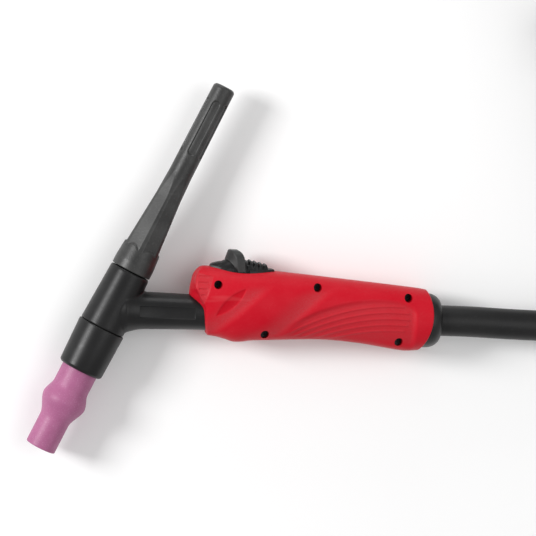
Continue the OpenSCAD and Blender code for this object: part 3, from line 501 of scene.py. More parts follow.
def shaded(obj: bpy.types.Object, angle: float = 40) -> bpy.types.Object:
    """Shades a piece smooth except across sharp edges.

    Args:
        obj: Piece to shade.
        angle: Edges sharper than this, in degrees, stay sharp.

    Returns:
        The same object.
    """
    activate(obj)
    bpy.ops.object.shade_smooth_by_angle(angle=math.radians(angle))
    return obj


@dataclass(frozen=True)
class Bench:
    """Where the head and the handle lie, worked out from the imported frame."""

    head_at: Vector
    head_axis: Vector
    neck_fall: float = 2.5
    seal_up: float = 20.45

    @classmethod
    def from_frame(cls, frame: dict) -> "Bench":
        """Reads the joint of the cap.


        Returns:
            The bench, in metres.
        """
        joints = {j["name"]: j for j in frame["record"]["behaviour"]["joints"]}
        axis = Vector(joints["cap_turn"]["axis"]).normalized()
        return cls(Vector(joints["cap_turn"]["pos_m"]) - axis * cls.seal_up * MM, axis)

    def head(self) -> Matrix:
        """Place of the head.

        Returns:
            The place, whose +Z runs along the head towards the cap.
        """
        lean = math.atan2(self.head_axis.x, self.head_axis.y)
        turn = Matrix.Rotation(-lean, 4, "Z") @ AXIS_ALONG_Y
        return Matrix.Translation(self.head_at) @ turn @ Matrix.Scale(MM, 4)

    def handle(self) -> Matrix:
        """Returns the place of the handle: u on X, v on Y and z on Z."""
        turn = Matrix.Rotation(-math.radians(self.neck_fall), 4, "Z")
        return Matrix.Translation(self.head_at) @ turn @ Matrix.Scale(MM, 4)


# Finishes

Input = bpy.types.NodeSocket | float | Sequence[float]
MIX_LOW, MIX_HIGH, MIX_RESULT = 6, 7, 2


class Graph:
    """A node tree that is written down node by node."""

    def __init__(self, tree: bpy.types.NodeTree) -> None:
        """Empties a tree to write it anew."""
        self.tree = tree
        tree.nodes.clear()

    def node(self, kind: str, **settings: object) -> bpy.types.Node:
        """Adds a node.

        Args:
            kind: Blender's name of the node.
            settings: Values of its own properties.

        Returns:
            The node.
        """
        made = self.tree.nodes.new(kind)
        for key, value in settings.items():
            setattr(made, key, value)
        return made

    def feed(self, target: bpy.types.NodeSocket, value: Input) -> None:
        """Joins an output to an input, or gives the input a value of its own.

        Args:
            target: The input.
            value: The output, or the value.
        """
        if isinstance(value, bpy.types.NodeSocket):
            self.tree.links.new(value, target)
        else:
            target.default_value = value

    def fill(self, node: bpy.types.Node, values: dict[str, Input]) -> bpy.types.Node:
        """Feeds inputs of a node by their names.

        Args:
            node: The node.
            values: A socket or value for each name.

        Returns:
            The same node.
        """
        for name, value in values.items():
            self.feed(node.inputs[name], value)
        return node

    def math(self, way: Sum, a: Input, b: Input) -> bpy.types.NodeSocket:
        """Adds a sum of two values.

        Args:
            way: What is done with them.
            a: First socket or number.
            b: Second socket or number.

        Returns:
            The result's socket.
        """
        made = self.node("ShaderNodeMath", operation=way.value)
        self.feed(made.inputs[0], a)
        self.feed(made.inputs[1], b)
        return made.outputs[0]

    def blend(self, share: bpy.types.NodeSocket, low: Input, high: Input) -> bpy.types.NodeSocket:
        """Blends two colours.

        Args:
            share: Socket that says how much of the second colour.
            low: First colour, or its socket.
            high: Second colour, or its socket.

        Returns:
            The colour's socket.
        """
        made = self.node("ShaderNodeMix", data_type="RGBA")
        self.feed(made.inputs["Factor"], share)
        for index, colour in ((MIX_LOW, low), (MIX_HIGH, high)):
            linked = isinstance(colour, bpy.types.NodeSocket)
            self.feed(made.inputs[index], colour if linked else (*colour, 1.0))
        return made.outputs[MIX_RESULT]

    def ramp(
        self, value: bpy.types.NodeSocket, band: Point, to: Point = (0.0, 1.0)
    ) -> bpy.types.NodeSocket:
        """Maps a band of values onto another, and clamps it.

        Args:
            value: Socket to map.
            band: Values that give the first and the second end.
            to: The two ends.

        Returns:
            The mapped socket.
        """
        ends = {"From Min": band[0], "From Max": band[1], "To Min": to[0], "To Max": to[1]}
        made = self.fill(self.node("ShaderNodeMapRange"), {"Value": value, **ends})
        return made.outputs["Result"]

    def noise(
        self, vector: bpy.types.NodeSocket, scale: Input, detail: float
    ) -> bpy.types.NodeSocket:
        """Adds a noise.

        Args:
            vector: Socket of the coordinates.
            scale: Its scale, or its socket.
            detail: Its levels of detail.

        Returns:
            The value's socket.
        """
        inputs = {"Vector": vector, "Scale": scale, "Detail": detail}
        return self.fill(self.node("ShaderNodeTexNoise"), inputs).outputs["Fac"]

    def mapped(
        self, vector: bpy.types.NodeSocket, stretch: Point3, turn: Point3 = (0.0, 0.0, 0.0)
    ) -> bpy.types.NodeSocket:
        """Turns and stretches coordinates.

        Args:
            vector: Socket of the coordinates.
            stretch: Scale along each axis.
            turn: Angle about each axis.

        Returns:
            The new coordinates' socket.
        """
        inputs = {"Vector": vector, "Rotation": turn, "Scale": stretch}
        return self.fill(self.node("ShaderNodeMapping"), inputs).outputs["Vector"]

    def bump(self, height: bpy.types.NodeSocket, depth: float) -> bpy.types.NodeSocket:
        """Returns the normal of a surface with a relief of a depth."""
        inputs = {"Height": height, "Distance": depth, "Strength": 1.0}
        return self.fill(self.node("ShaderNodeBump"), inputs).outputs["Normal"]

    def effect(self, tree: bpy.types.NodeTree, scales: dict[str, float]) -> bpy.types.Node:
        """Places a shader group that reads the piece's own coordinates.

        Args:
            tree: The group.
            scales: Values of its inputs by their names.

        Returns:
            The group's node.
        """
        place = self.node("ShaderNodeTexCoord").outputs["Object"]
        return self.fill(self.node("ShaderNodeGroup", node_tree=tree), {"Vector": place, **scales})


class Effects:
    """Shader groups that more than one finish uses, each built once."""

    grain_detail = 2.0
    mottle_detail = 4.0
    flow_detail = 3.0
    flow_stretch = (18.0, 260.0, 120.0)
    dust_detail = 6.0
    dust_band = (0.56, 0.74)
    scuff_detail = 2.0
    scuff_turn = (0.2, 0.1, 0.7)
    scuff_stretch = (0.12, 1.0, 0.6)
    scuff_band = (0.66, 0.74)
    edge_band = (0.505, 0.56)

    @staticmethod
    def group(
        name: str, scales: dict[str, float], outputs: Sequence[str]
    ) -> tuple[Graph, bpy.types.Node, bpy.types.Node]:
        """Starts a group with named sockets.

        Args:
            name: Name of the group.
            scales: Each number input's name and first value, after the input Vector.
            outputs: Names of the outputs.

        Returns:
            The group's graph, its input node and its output node.
        """
        tree = bpy.data.node_groups.new(name, "ShaderNodeTree")
        tree.interface.new_socket("Vector", in_out="INPUT", socket_type="NodeSocketVector")
        for label, value in scales.items():
            socket = tree.interface.new_socket(
                label, in_out="INPUT", socket_type="NodeSocketFloat"
            )
            socket.default_value = value
        for label in outputs:
            tree.interface.new_socket(label, in_out="OUTPUT", socket_type="NodeSocketFloat")
        graph = Graph(tree)
        return graph, graph.node("NodeGroupInput"), graph.node("NodeGroupOutput")

    @classmethod
    def mould_skin(cls) -> bpy.types.NodeTree:
        """Skin of a moulded piece: a fine grain, slow mottling and faint flow marks.

        Returns:
            The group, with outputs Grain, Mottle and Flow.
        """
        found = bpy.data.node_groups.get("mould_skin")
        if found:
            return found
        scales = {"Grain Scale": 3000, "Mottle Scale": 60}
        graph, given, result = cls.group("mould_skin", scales, ("Grain", "Mottle", "Flow"))
        place, grain, mottle = (given.outputs[name] for name in ("Vector", *scales))
        flow = graph.mapped(place, cls.flow_stretch)
        graph.fill(result, {
            "Grain": graph.noise(place, grain, cls.grain_detail),
            "Mottle": graph.noise(place, mottle, cls.mottle_detail),
            "Flow": graph.noise(flow, 1.0, cls.flow_detail),
        })
        return graph.tree

    @classmethod
    def use_marks(cls) -> bpy.types.NodeTree:
        """Marks of use: pale dust in patches, thin scuffs and rubbed edges.

        Returns:
            The group, with outputs Dust, Scuff and Edge.
        """
        found = bpy.data.node_groups.get("use_marks")
        if found:
            return found
        scales = {"Dust Scale": 900, "Scuff Scale": 140}
        graph, given, result = cls.group("use_marks", scales, ("Dust", "Scuff", "Edge"))
        place, dust, scuff = (given.outputs[name] for name in ("Vector", *scales))
        slanted = graph.mapped(place, cls.scuff_stretch, cls.scuff_turn)
        edge = graph.node("ShaderNodeNewGeometry").outputs["Pointiness"]
        graph.fill(result, {
            "Dust": graph.ramp(graph.noise(place, dust, cls.dust_detail), cls.dust_band),
            "Scuff": graph.ramp(graph.noise(slanted, scuff, cls.scuff_detail), cls.scuff_band),
            "Edge": graph.ramp(edge, cls.edge_band),
        })
        return graph.tree


@dataclass(frozen=True)
class Finish:
    """What all finishes share: a name, and a material that is built once."""

    name: str

    def build(self) -> bpy.types.Material:
        """Builds the material, or finds it where it is built already.

        Returns:
            The material.
        """
        label = f"finish_{self.name}"
        found = bpy.data.materials.get(label)
        if found:
            return found
        material = bpy.data.materials.new(label)
        material.use_nodes = True
        graph = Graph(material.node_tree)
        shader = graph.node("ShaderNodeBsdfPrincipled")
        graph.fill(graph.node("ShaderNodeOutputMaterial"), {"Surface": shader.outputs["BSDF"]})
        self.wire(graph, shader)
        return material

    def wire(self, graph: Graph, shader: bpy.types.Node) -> None:
        """Wires the shader, which each kind of finish does in its own way.

        Args:
            graph: The material's graph.
            shader: Its shader.
        """
        raise NotImplementedError


@dataclass(frozen=True)
class Moulded(Finish):
    """Finish of a moulded plastic or rubber piece."""

    colour: Point3
    pale: Point3
    dust: Point3
    grain_scale: float = 3200.0
    grain_depth: float = 0.00004
    mottle_scale: float = 70.0
    mottle_band: Point = (0.35, 0.7)
    rough: Point = (0.36, 0.5)
    rough_band: Point = (0.3, 0.7)
    rough_cover: float = 0.2
    flow_share: float = 0.5
    dust_share: float = 0.12
    scuff_share: float = 0.2
    edge_share: float = 0.25
    specular: float = 0.25
    sheen: float = 0.0
    # Paler colour where the tint attribute is below 0: wear in the hollows, and painted light on
    # the nose panel.
    worn_and_lit: Point3 | None = None
    worn_band: Point = (0.0, -1.0)
    grit_band: Point = (0.35, 0.65)
    grit: Point = (0.3, 0.7)
    polished: Point3 | None = None
    polish_band: Point = (0.0, 0.8)

    def wire(self, graph: Graph, shader: bpy.types.Node) -> None:
        """Wires the mottled body, its paler places of wear and of painted light, its polished
        places, the marks of use and the grain.

        Args:
            graph: The material's graph.
            shader: Its shader.
        """
        scales = {"Grain Scale": self.grain_scale, "Mottle Scale": self.mottle_scale}
        skin = graph.effect(Effects.mould_skin(), scales).outputs
        marks = graph.effect(Effects.use_marks(), {}).outputs
        body = graph.blend(graph.ramp(skin["Mottle"], self.mottle_band), self.colour, self.pale)
        if self.worn_and_lit and self.polished:
            tint = graph.node("ShaderNodeAttribute", attribute_name="tint").outputs["Fac"]
            grit = graph.math(Sum.PRODUCT, graph.ramp(skin["Grain"], self.grit_band), self.grit[1])
            grit = graph.math(Sum.TOTAL, grit, self.grit[0])
            rubbed = graph.math(Sum.PRODUCT, graph.ramp(tint, self.worn_band), grit)
            body = graph.blend(rubbed, body, self.worn_and_lit)
            body = graph.blend(graph.ramp(tint, self.polish_band), body, self.polished)
        edge = graph.math(Sum.PRODUCT, marks["Edge"], self.edge_share)
        scuff = graph.math(Sum.PRODUCT, marks["Scuff"], self.scuff_share)
        dust = graph.math(Sum.PRODUCT, marks["Dust"], self.dust_share)
        cover = graph.math(Sum.LARGER, graph.math(Sum.LARGER, edge, scuff), dust)
        flow = graph.math(Sum.PRODUCT, skin["Flow"], self.flow_share)
        grain = graph.math(Sum.PRODUCT, skin["Grain"], 1 - self.flow_share)
        rough = graph.ramp(graph.math(Sum.TOTAL, flow, grain), self.rough_band, self.rough)
        covered = graph.math(Sum.PRODUCT, cover, self.rough_cover)
        graph.fill(shader, {
            "Base Color": graph.blend(cover, body, self.dust),
            "Roughness": graph.math(Sum.TOTAL, rough, covered),
            "Normal": graph.bump(skin["Grain"], self.grain_depth),
            "Specular IOR Level": self.specular,
            "Sheen Weight": self.sheen,
        })


@dataclass(frozen=True)
class Metal(Finish):
    """Finish of a bare metal piece."""

    colour: Point3
    dull: Point3
    rough: Point = (0.22, 0.4)
    rough_band: Point = (0.3, 0.7)
    dull_band: Point = (0.4, 0.7)
    grain_scale: float = 5200.0
    mottle_scale: float = 180.0

    def wire(self, graph: Graph, shader: bpy.types.Node) -> None:
        """Wires the bright body with its dull patches.

        Args:
            graph: The material's graph.
            shader: Its shader.
        """
        scales = {"Grain Scale": self.grain_scale, "Mottle Scale": self.mottle_scale}
        skin = graph.effect(Effects.mould_skin(), scales).outputs
        dulled = graph.ramp(skin["Mottle"], self.dull_band)
        graph.fill(shader, {
            "Base Color": graph.blend(dulled, self.colour, self.dull),
            "Roughness": graph.ramp(skin["Grain"], self.rough_band, self.rough),
            "Metallic": 1.0,
        })


@dataclass(frozen=True)
class Ceramic(Finish):
    """Finish of the fired alumina nozzle: a satin body with fine speckle."""

    colour: Point3
    pale: Point3
    speck: Point3
    speck_share: float = 0.3
    speck_scale: float = 1700.0
    rough: Point = (0.42, 0.58)
    rough_band: Point = (0.3, 0.7)
    pale_band: Point = (0.3, 0.72)
    grain_scale: float = 2600.0
    grain_depth: float = 0.00003
    mottle_scale: float = 110.0
    under: float = 0.15
    under_reach: Point3 = (0.002, 0.001, 0.0015)

    def wire(self, graph: Graph, shader: bpy.types.Node) -> None:
        """Wires the mottled and specked body.

        Args:
            graph: The material's graph.
            shader: Its shader.
        """
        scales = {"Grain Scale": self.grain_scale, "Mottle Scale": self.mottle_scale}
        skin = graph.effect(Effects.mould_skin(), scales).outputs
        marks = graph.effect(Effects.use_marks(), {"Dust Scale": self.speck_scale}).outputs
        body = graph.blend(graph.ramp(skin["Mottle"], self.pale_band), self.colour, self.pale)
        specks = graph.math(Sum.PRODUCT, marks["Dust"], self.speck_share)
        graph.fill(shader, {
            "Base Color": graph.blend(specks, body, self.speck),
            "Roughness": graph.ramp(skin["Grain"], self.rough_band, self.rough),
            "Normal": graph.bump(skin["Grain"], self.grain_depth),
            "Subsurface Weight": self.under,
            "Subsurface Radius": self.under_reach,
        })


# The paler worn colour is wear in the valleys and the palm, and painted light on the nose panel.
RED_SHELL = Moulded(
    "red_shell", (0.49, 0.004, 0.015), (0.51, 0.01, 0.022), (0.64, 0.13, 0.14),
    grain_scale=2600, grain_depth=0.00003, rough=(0.34, 0.5), dust_share=0.05, scuff_share=0.16,
    edge_share=0.03, specular=0.1, worn_and_lit=(0.45, 0.038, 0.048), polished=(0.43, 0.0005, 0.009),
)
HEAD_RUBBER = Moulded(
    "head_rubber", (0.005, 0.005, 0.0053), (0.008, 0.008, 0.0083), (0.1, 0.1, 0.1),
    grain_scale=2400, grain_depth=0.000008, rough=(0.3, 0.42), dust_share=0.04, scuff_share=0.05,
    edge_share=0.08, specular=0.28,
)
CAP_PLASTIC = Moulded(
    "cap_plastic", (0.011, 0.011, 0.0107), (0.036, 0.036, 0.035), (0.16, 0.16, 0.155),
    grain_scale=1500, grain_depth=0.00006, rough=(0.34, 0.5), dust_share=0.12, edge_share=0.1,
    specular=0.55,
)
TRIGGER_BLACK = Moulded(
    "trigger_black", (0.006, 0.006, 0.0063), (0.011, 0.011, 0.0115), (0.1, 0.1, 0.1),
    grain_scale=3000, grain_depth=0.000012, rough=(0.34, 0.46), dust_share=0.04, edge_share=0.08,
    specular=0.24,
)
# Painted light: a lighter grey copy of the trigger's black plastic, so that the lever looks lit
# from the left.
LEVER_PAINTED_LIGHT = Moulded(
    "lever_painted_light", (0.018, 0.018, 0.018), (0.03, 0.03, 0.0295), (0.14, 0.14, 0.135),
    grain_scale=2200, grain_depth=0.00003, rough=(0.4, 0.55), dust_share=0.16, edge_share=0.1,
    specular=0.4,
)
BOOT_RUBBER = Moulded(
    "boot_rubber", (0.006, 0.006, 0.006), (0.01, 0.01, 0.01), (0.09, 0.09, 0.09),
    grain_scale=2600, grain_depth=0.00001, rough=(0.34, 0.46), dust_share=0.06, edge_share=0.1,
    specular=0.38,
)
HOSE_RUBBER = Moulded(
    "hose_rubber", (0.007, 0.007, 0.0074), (0.011, 0.011, 0.011), (0.1, 0.1, 0.1),
    grain_scale=1800, grain_depth=0.000012, rough=(0.38, 0.5), mottle_scale=40, dust_share=0.07,
    edge_share=0.0, specular=0.28,
)
SEAL_RUBBER = Moulded(
    "seal_rubber", (0.01, 0.01, 0.01), (0.014, 0.014, 0.014), (0.08, 0.08, 0.08), rough=(0.5, 0.65)
)
TIE_WEBBING = Moulded(
    "tie_webbing", (0.03, 0.03, 0.031), (0.05, 0.05, 0.05), (0.16, 0.16, 0.16),
    grain_scale=1100, grain_depth=0.0003, rough=(0.7, 0.85), dust_share=0.2, sheen=0.3,
)
SWITCH_GREY = Moulded("switch_grey", (0.045, 0.045, 0.045), (0.06, 0.06, 0.06), (0.2, 0.2, 0.2))
BOARD_GREEN = Moulded(
    "board_green", (0.004, 0.05, 0.015), (0.006, 0.07, 0.02), (0.2, 0.25, 0.2), rough=(0.25, 0.35)
)
WIRE_JACKET = Moulded(
    "wire_jacket", (0.6, 0.4, 0.02), (0.65, 0.45, 0.03), (0.7, 0.6, 0.3), rough=(0.3, 0.4)
)
BRASS = Metal("turned_brass", (0.76, 0.53, 0.2), (0.6, 0.42, 0.17))
COPPER = Metal("drawn_copper", (0.75, 0.38, 0.24), (0.55, 0.27, 0.17))
# Painted shade: the steel is made near black, as dark as the shade deep in the screw pockets.
STEEL_PAINTED_SHADE = Metal("steel_painted_shade", (0.035, 0.035, 0.037), (0.02, 0.02, 0.02), rough=(0.35, 0.5))
ALUMINA = Ceramic("pink_alumina", (0.315, 0.084, 0.195), (0.37, 0.11, 0.235), (0.6, 0.36, 0.5))


def dress(
    obj: bpy.types.Object, finish: Finish, body: str, slot: str, *nodes: str
) -> bpy.types.Object:
    """Gives a new piece its finish and its body, and hides the solids that it stands for.

    Args:
        obj: The new piece.
        finish: Its finish.
        body: Body of the frame that it rides on.
        slot: Material slot of the record that the finish belongs to. Not used.
        nodes: Solids that it stands for.

    Returns:
        The same object.
    """
    obj.data.materials.clear()
    obj.data.materials.append(finish.build())
    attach(obj, body)
    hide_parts(*nodes)
    LOG.info("%s: stands for %s on %s", obj.name, ", ".join(nodes), body)
    return obj


# Pieces


@dataclass(frozen=True)
class Hose:
    """The rubber hose from the handle to the connector, in millimetres."""

    start: Point3 = (103.389, -27.4033, 16.0349)
    heading: Point3 = (0.999048, -0.0436194, 0.0)
    straight: float = 15.5
    diameter: float = 15.5
    length: float = 4004.0
    run: tuple[Point3, ...] = (
        (135.989, -29.403, 15.235), (155.989, -30.803, 13.6), (175.989, -32.003, 11.8),
        (195.989, -32.803, 10.6), (219.989, -33.403, 9.55), (245.989, -33.603, 9.35),
        (274.489, -33.603, 9.35),
    )
    coil_centre: Point = (289.989, 86.2367)
    out_r: float = 119.84
    in_r: float = 69.0
    pitch: float = 16.4
    low_z: float = 9.35
    layer_h: float = 16.3
    turns_low: float = 3.1
    turns_high: float = 2.9
    turn_steps: int = 48
    tail: tuple[Point3, ...] = (
        (274.489, 202.797, 25.65), (255.989, 202.797, 24.65), (237.989, 202.797, 20.5),
        (221.489, 202.797, 19.1), (205.989, 202.797, 19.1),
    )
    carries: tuple[str, ...] = (
        "coil_ties", "connector_relief", "connector_body", "connector_nut", "connector_pin",
        "control_contacts",
    )

    def coil_point(self, turn: float) -> Point3:
        """Point of the coil, which climbs to its second layer in half a turn.

        Args:
            turn: Turns from the coil's start.

        Returns:
            The centre of the hose there.
        """
        a = FULL_TURN * turn
        climb = (turn - self.turns_low) * FULL_TURN
        rate = self.pitch / FULL_TURN
        if climb <= 0:
            r = self.out_r - rate * a
        elif climb < HALF_TURN:
            r = self.in_r - rate * HALF_TURN / math.pi * math.sin(math.radians(climb))
        else:
            r = self.in_r + rate * (climb - HALF_TURN)
        z = self.low_z + self.layer_h * smooth(climb / HALF_TURN)
        s, c = math.sin(math.radians(a)), math.cos(math.radians(a))
        return (self.coil_centre[0] + r * s, self.coil_centre[1] - r * c, z)

    def build(self) -> bpy.types.Object:
        """Returns:
            The hose.
        """
        exit_to = tuple(a + b * self.straight for a, b in zip(self.start, self.heading))
        turns = self.turns_low + 0.5 + self.turns_high
        steps = round(turns * self.turn_steps)
        coil = [self.coil_point(turns * i / steps) for i in range(steps + 1)]
        points = [self.start, exit_to, *self.run, *coil, *self.tail]
        curve = bpy.data.curves.new("hose", "CURVE")
        curve.dimensions = "3D"
        curve.bevel_depth = self.diameter / 2 * MM
        curve.bevel_resolution = 8
        curve.use_fill_caps = True
        curve.resolution_u = 4
        spline = curve.splines.new("BEZIER")
        spline.bezier_points.add(len(points) - 1)
        for knot, point in zip(spline.bezier_points, points):
            knot.co = [c * MM for c in point]
            knot.handle_left_type = knot.handle_right_type = "AUTO"
        obj = bpy.data.objects.new("hose", curve)
        bpy.context.scene.collection.objects.link(obj)
        dress(obj, HOSE_RUBBER, "torch", "hose_rubber", "hose_run", "hose_coil", "hose_tail")
        return obj


@dataclass(frozen=True)
class Lamp:
    """A soft square lamp."""

    name: str
    place: Point3
    size: float
    power: float

    def hang(self, aim: Point3) -> bpy.types.Object:
        """Hangs the lamp.

        Args:
            aim: Where it points.

        Returns:
            The lamp.
        """
        data = bpy.data.lights.new(self.name, "AREA")
        data.size = self.size
        data.energy = self.power
        lamp = bpy.data.objects.new(self.name, data)
        lamp.location = self.place
        sight = Vector(aim) - Vector(self.place)
        lamp.rotation_euler = sight.to_track_quat("-Z", "Y").to_euler()
        bpy.context.scene.collection.objects.link(lamp)
        return lamp


@dataclass(frozen=True)
class Studio:
    """Floor, lights and camera."""

    aim: Point3 = (0.01622, -0.00022, 0.01603)
    away: float = 1.25
    left: float = 8.0
    up: float = 5.0
    view: float = 12.19
    roll: float = 0.31
    nearest: float = 0.05
    floor: float = 3.0
    floor_at: Point3 = (0.1, 0.05, 0.0)
    floor_colour: float = 0.93
    floor_rough: float = 0.9
    floor_specular: float = 0.1
    sky: float = 0.54
    lamps: tuple[Lamp, ...] = (
        Lamp("key", (-1.25, 0.4, 0.9), 0.45, 19.0),
        Lamp("fill", (0.7, 0.1, 1.3), 1.0, 4.5),
        Lamp("rim", (0.0, 1.25, 0.25), 0.5, 3.5),
    )

    def build(self) -> None:
        """Sets the stage."""
        self.bench_top()
        world = bpy.data.worlds.new("studio")
        world.use_nodes = True
        sky = world.node_tree.nodes["Background"].inputs
        sky["Color"].default_value = (1.0, 1.0, 1.0, 1.0)
        sky["Strength"].default_value = self.sky
        bpy.context.scene.world = world
        for lamp in self.lamps:
            lamp.hang(self.aim)
        self.camera()
        settings = bpy.context.scene.view_settings
        settings.view_transform = "Standard"
        settings.look = "None"

    def bench_top(self) -> bpy.types.Object:
        """Lays the pale floor.

        Returns:
            The floor.
        """
        bpy.ops.object.select_all(action="DESELECT")
        bpy.ops.mesh.primitive_plane_add(size=self.floor, location=self.floor_at)
        floor = bpy.context.object
        floor.name = "bench_top"
        material = bpy.data.materials.new("bench_top")
        material.use_nodes = True
        shader = material.node_tree.nodes["Principled BSDF"].inputs
        shader["Base Color"].default_value = (*[self.floor_colour] * 3, 1.0)
        shader["Roughness"].default_value = self.floor_rough
        shader["Specular IOR Level"].default_value = self.floor_specular
        floor.data.materials.append(material)
        return floor

    def camera(self) -> bpy.types.Object:
        """Places the camera where the photo was taken from.

        Returns:
            The camera.
        """
        across, along = math.radians(-self.left), math.radians(self.up)
        flat = math.cos(along)
        back = Vector((math.sin(across) * flat, math.sin(along), math.cos(across) * flat))
        back.normalize()
        right = Vector((0, 1, 0)).cross(back).normalized()
        turn = Matrix((right, back.cross(right), back)).transposed().to_4x4()
        roll = Matrix.Rotation(math.radians(self.roll), 4, "Z")
        data = bpy.data.cameras.new("camera")
        data.sensor_fit = "HORIZONTAL"
        data.angle = math.radians(self.view)
        data.clip_start = self.nearest
        camera = bpy.data.objects.new("camera", data)
        camera.matrix_world = Matrix.Translation(Vector(self.aim) + back * self.away) @ turn @ roll
        bpy.context.scene.collection.objects.link(camera)
        bpy.context.scene.camera = camera
        return camera


@dataclass(frozen=True)
class Head:
    """Ceramic nozzle, sealing sleeve, and moulded head with its neck, in the head's own frame."""

    nozzle_tip: float = -76.7
    nozzle_len: float = 61.0
    tip_r: float = 7.7
    bulge_r: float = 11.3
    shank_r: float = 9.2
    mouth_len: float = 15.0
    bulge_at: float = 26.0
    shank_at: float = 33.5
    profile: Point = (2.0, 36.0)
    profile_steps: int = 68
    rim: float = 0.6
    bore_r: float = 5.6
    bore_round: float = 0.5
    chamber_r: float = 7.3
    chamber_at: float = 22.0
    chamber_cone: float = 3.0
    chamber_lip: float = 0.3
    sleeve_end: float = -33.7
    sleeve_top: float = -9.95
    sleeve_r: float = 12.0
    sleeve_low_r: float = 11.4
    sleeve_round: float = 1.8
    sleeve_edge: float = 0.5
    sleeve_fit: float = 0.1
    sleeve_lip: float = 5.4
    sleeve_lip_r: float = 7.05
    # Lead-in of the sleeve: how much wider than its bore, and how far above its end.
    sleeve_lead: tuple[Point, ...] = ((0.0, 0.6), (0.5, 0.05))
    head_down: float = 9.9
    head_up: float = 21.0
    head_low_r: float = 11.5
    head_top_r: float = 10.3
    head_edge: float = 0.8
    core_r: float = 8.05
    core_top: float = 19.6
    seal_r: float = 8.3
    neck_r: float = 8.85
    neck_root_r: float = 9.3
    neck_hidden: float = 2.3
    neck_even: float = 37.4
    neck_end: float = 52.0
    flare_r: float = 11.7
    # Where the flare, and the smoothing of the skin, begin and end along the neck.
    flare: Point = (7.0, 18.0)
    flare_steps: int = 12
    skin_voxel: float = 0.42
    soft_from: Point = (3.0, 6.0)
    soft_to: Point = (19.0, 24.0)
    soft_rounds: int = 10
    tube_r: float = 4.55
    # Length, width and depth of the recess on the neck.
    panel: Point3 = (28.0, 6.0, 0.7)
    panel_at: float = 27.35
    panel_edge: float = 0.5

    def nozzle_radius(self, s: float) -> float:
        """Outer radius of the nozzle.

        Args:
            s: Distance from its mouth.

        Returns:
            The radius there.
        """
        if s < self.bulge_at:
            t = (s - self.mouth_len) / (self.bulge_at - self.mouth_len)
            return lerp(self.tip_r, self.bulge_r, smooth(t))
        t = (s - self.bulge_at) / (self.shank_at - self.bulge_at)
        return lerp(self.bulge_r, self.shank_r, smooth(t))

    def nozzle(self, place: Matrix) -> bpy.types.Object:
        """Turns the nozzle.

        Args:
            place: The head's place.

        Returns:
            The nozzle.
        """
        end, lip, soft = self.nozzle_len, self.chamber_lip, self.bore_round
        outline = arc((self.tip_r - self.rim, self.rim), self.rim, -90, 0)
        for i in range(self.profile_steps + 1):
            s = lerp(*self.profile, i / self.profile_steps)
            outline.append((self.nozzle_radius(s), s))
        outline += arc((self.shank_r - self.rim, end - self.rim), self.rim, 0, 90, 4)
        outline += [
            (self.chamber_r + lip, end),
            (self.chamber_r, end - lip),
            (self.chamber_r, self.chamber_at + self.chamber_cone),
            (self.bore_r, self.chamber_at),
        ]
        outline += arc((self.bore_r + soft, soft), soft, 180, 270, 5)
        obj = turned("nozzle", [(r, s + self.nozzle_tip) for r, s in outline], 160)
        shaded(moved(obj, place))
        return dress(obj, ALUMINA, "nozzle", "ceramic", "gas_nozzle")

    def sleeve(self, place: Matrix) -> bpy.types.Object:
        """Turns the rubber sleeve that seals the nozzle.

        Args:
            place: The head's place.

        Returns:
            The sleeve.
        """
        low, top, e, r = self.sleeve_end, self.sleeve_top, self.sleeve_edge, self.sleeve_round
        bore, lip = self.shank_r + self.sleeve_fit, top - self.sleeve_lip
        outline = arc((self.sleeve_low_r - r, low + r), r, -90, 0, 10)
        outline += arc((self.sleeve_r - e, top - e), e, 0, 90, 5)
        outline += [(self.sleeve_lip_r, top), (self.sleeve_lip_r, lip), (bore, lip)]
        outline += [(bore + wider, low + up) for wider, up in self.sleeve_lead]
        obj = turned("sleeve", outline, 144)
        shaded(moved(obj, place))
        return dress(obj, HEAD_RUBBER, "torch", "head_rubber", "sealing_sleeve")

    def neck(self) -> bpy.types.Object:
        """Turns the neck with the flare at its root.

        Returns:
            The neck, along the handle's X axis.
        """
        e, end = self.head_edge, self.neck_end
        outline = [(0, 0), (self.flare_r - self.neck_hidden, 0)]
        for i in range(self.flare_steps + 1):
            s = i / self.flare_steps
            r = lerp(self.flare_r, self.neck_root_r, 1 - (1 - s) ** 2)
            outline.append((r, lerp(*self.flare, s)))
        outline += [(self.neck_r, self.neck_even), (self.neck_r, end - e)]
        outline += [(self.neck_r - e, end), (0, end)]
        return moved(turned("neck", outline), AXIS_ALONG_X)

    def softness(self, p: Vector) -> float:
        """Returns how much the skin is smoothed at a point where the neck joins the head."""
        (first, full), (even, last) = self.soft_from, self.soft_to
        return smooth((p.x - first) / (full - first)) * smooth((last - p.x) / (last - even))

    def recess(self) -> bpy.types.Object:
        """Makes the cutter of the empty recess on the neck.

        Returns:
            The cutter.
        """
        length, width, depth = self.panel
        low = (self.panel_at - length / 2, -width / 2, self.neck_r - depth)
        high = (self.panel_at + length / 2, width / 2, self.neck_r * 2)
        return eased(block("panel", low, high), self.panel_edge, 3, 60)

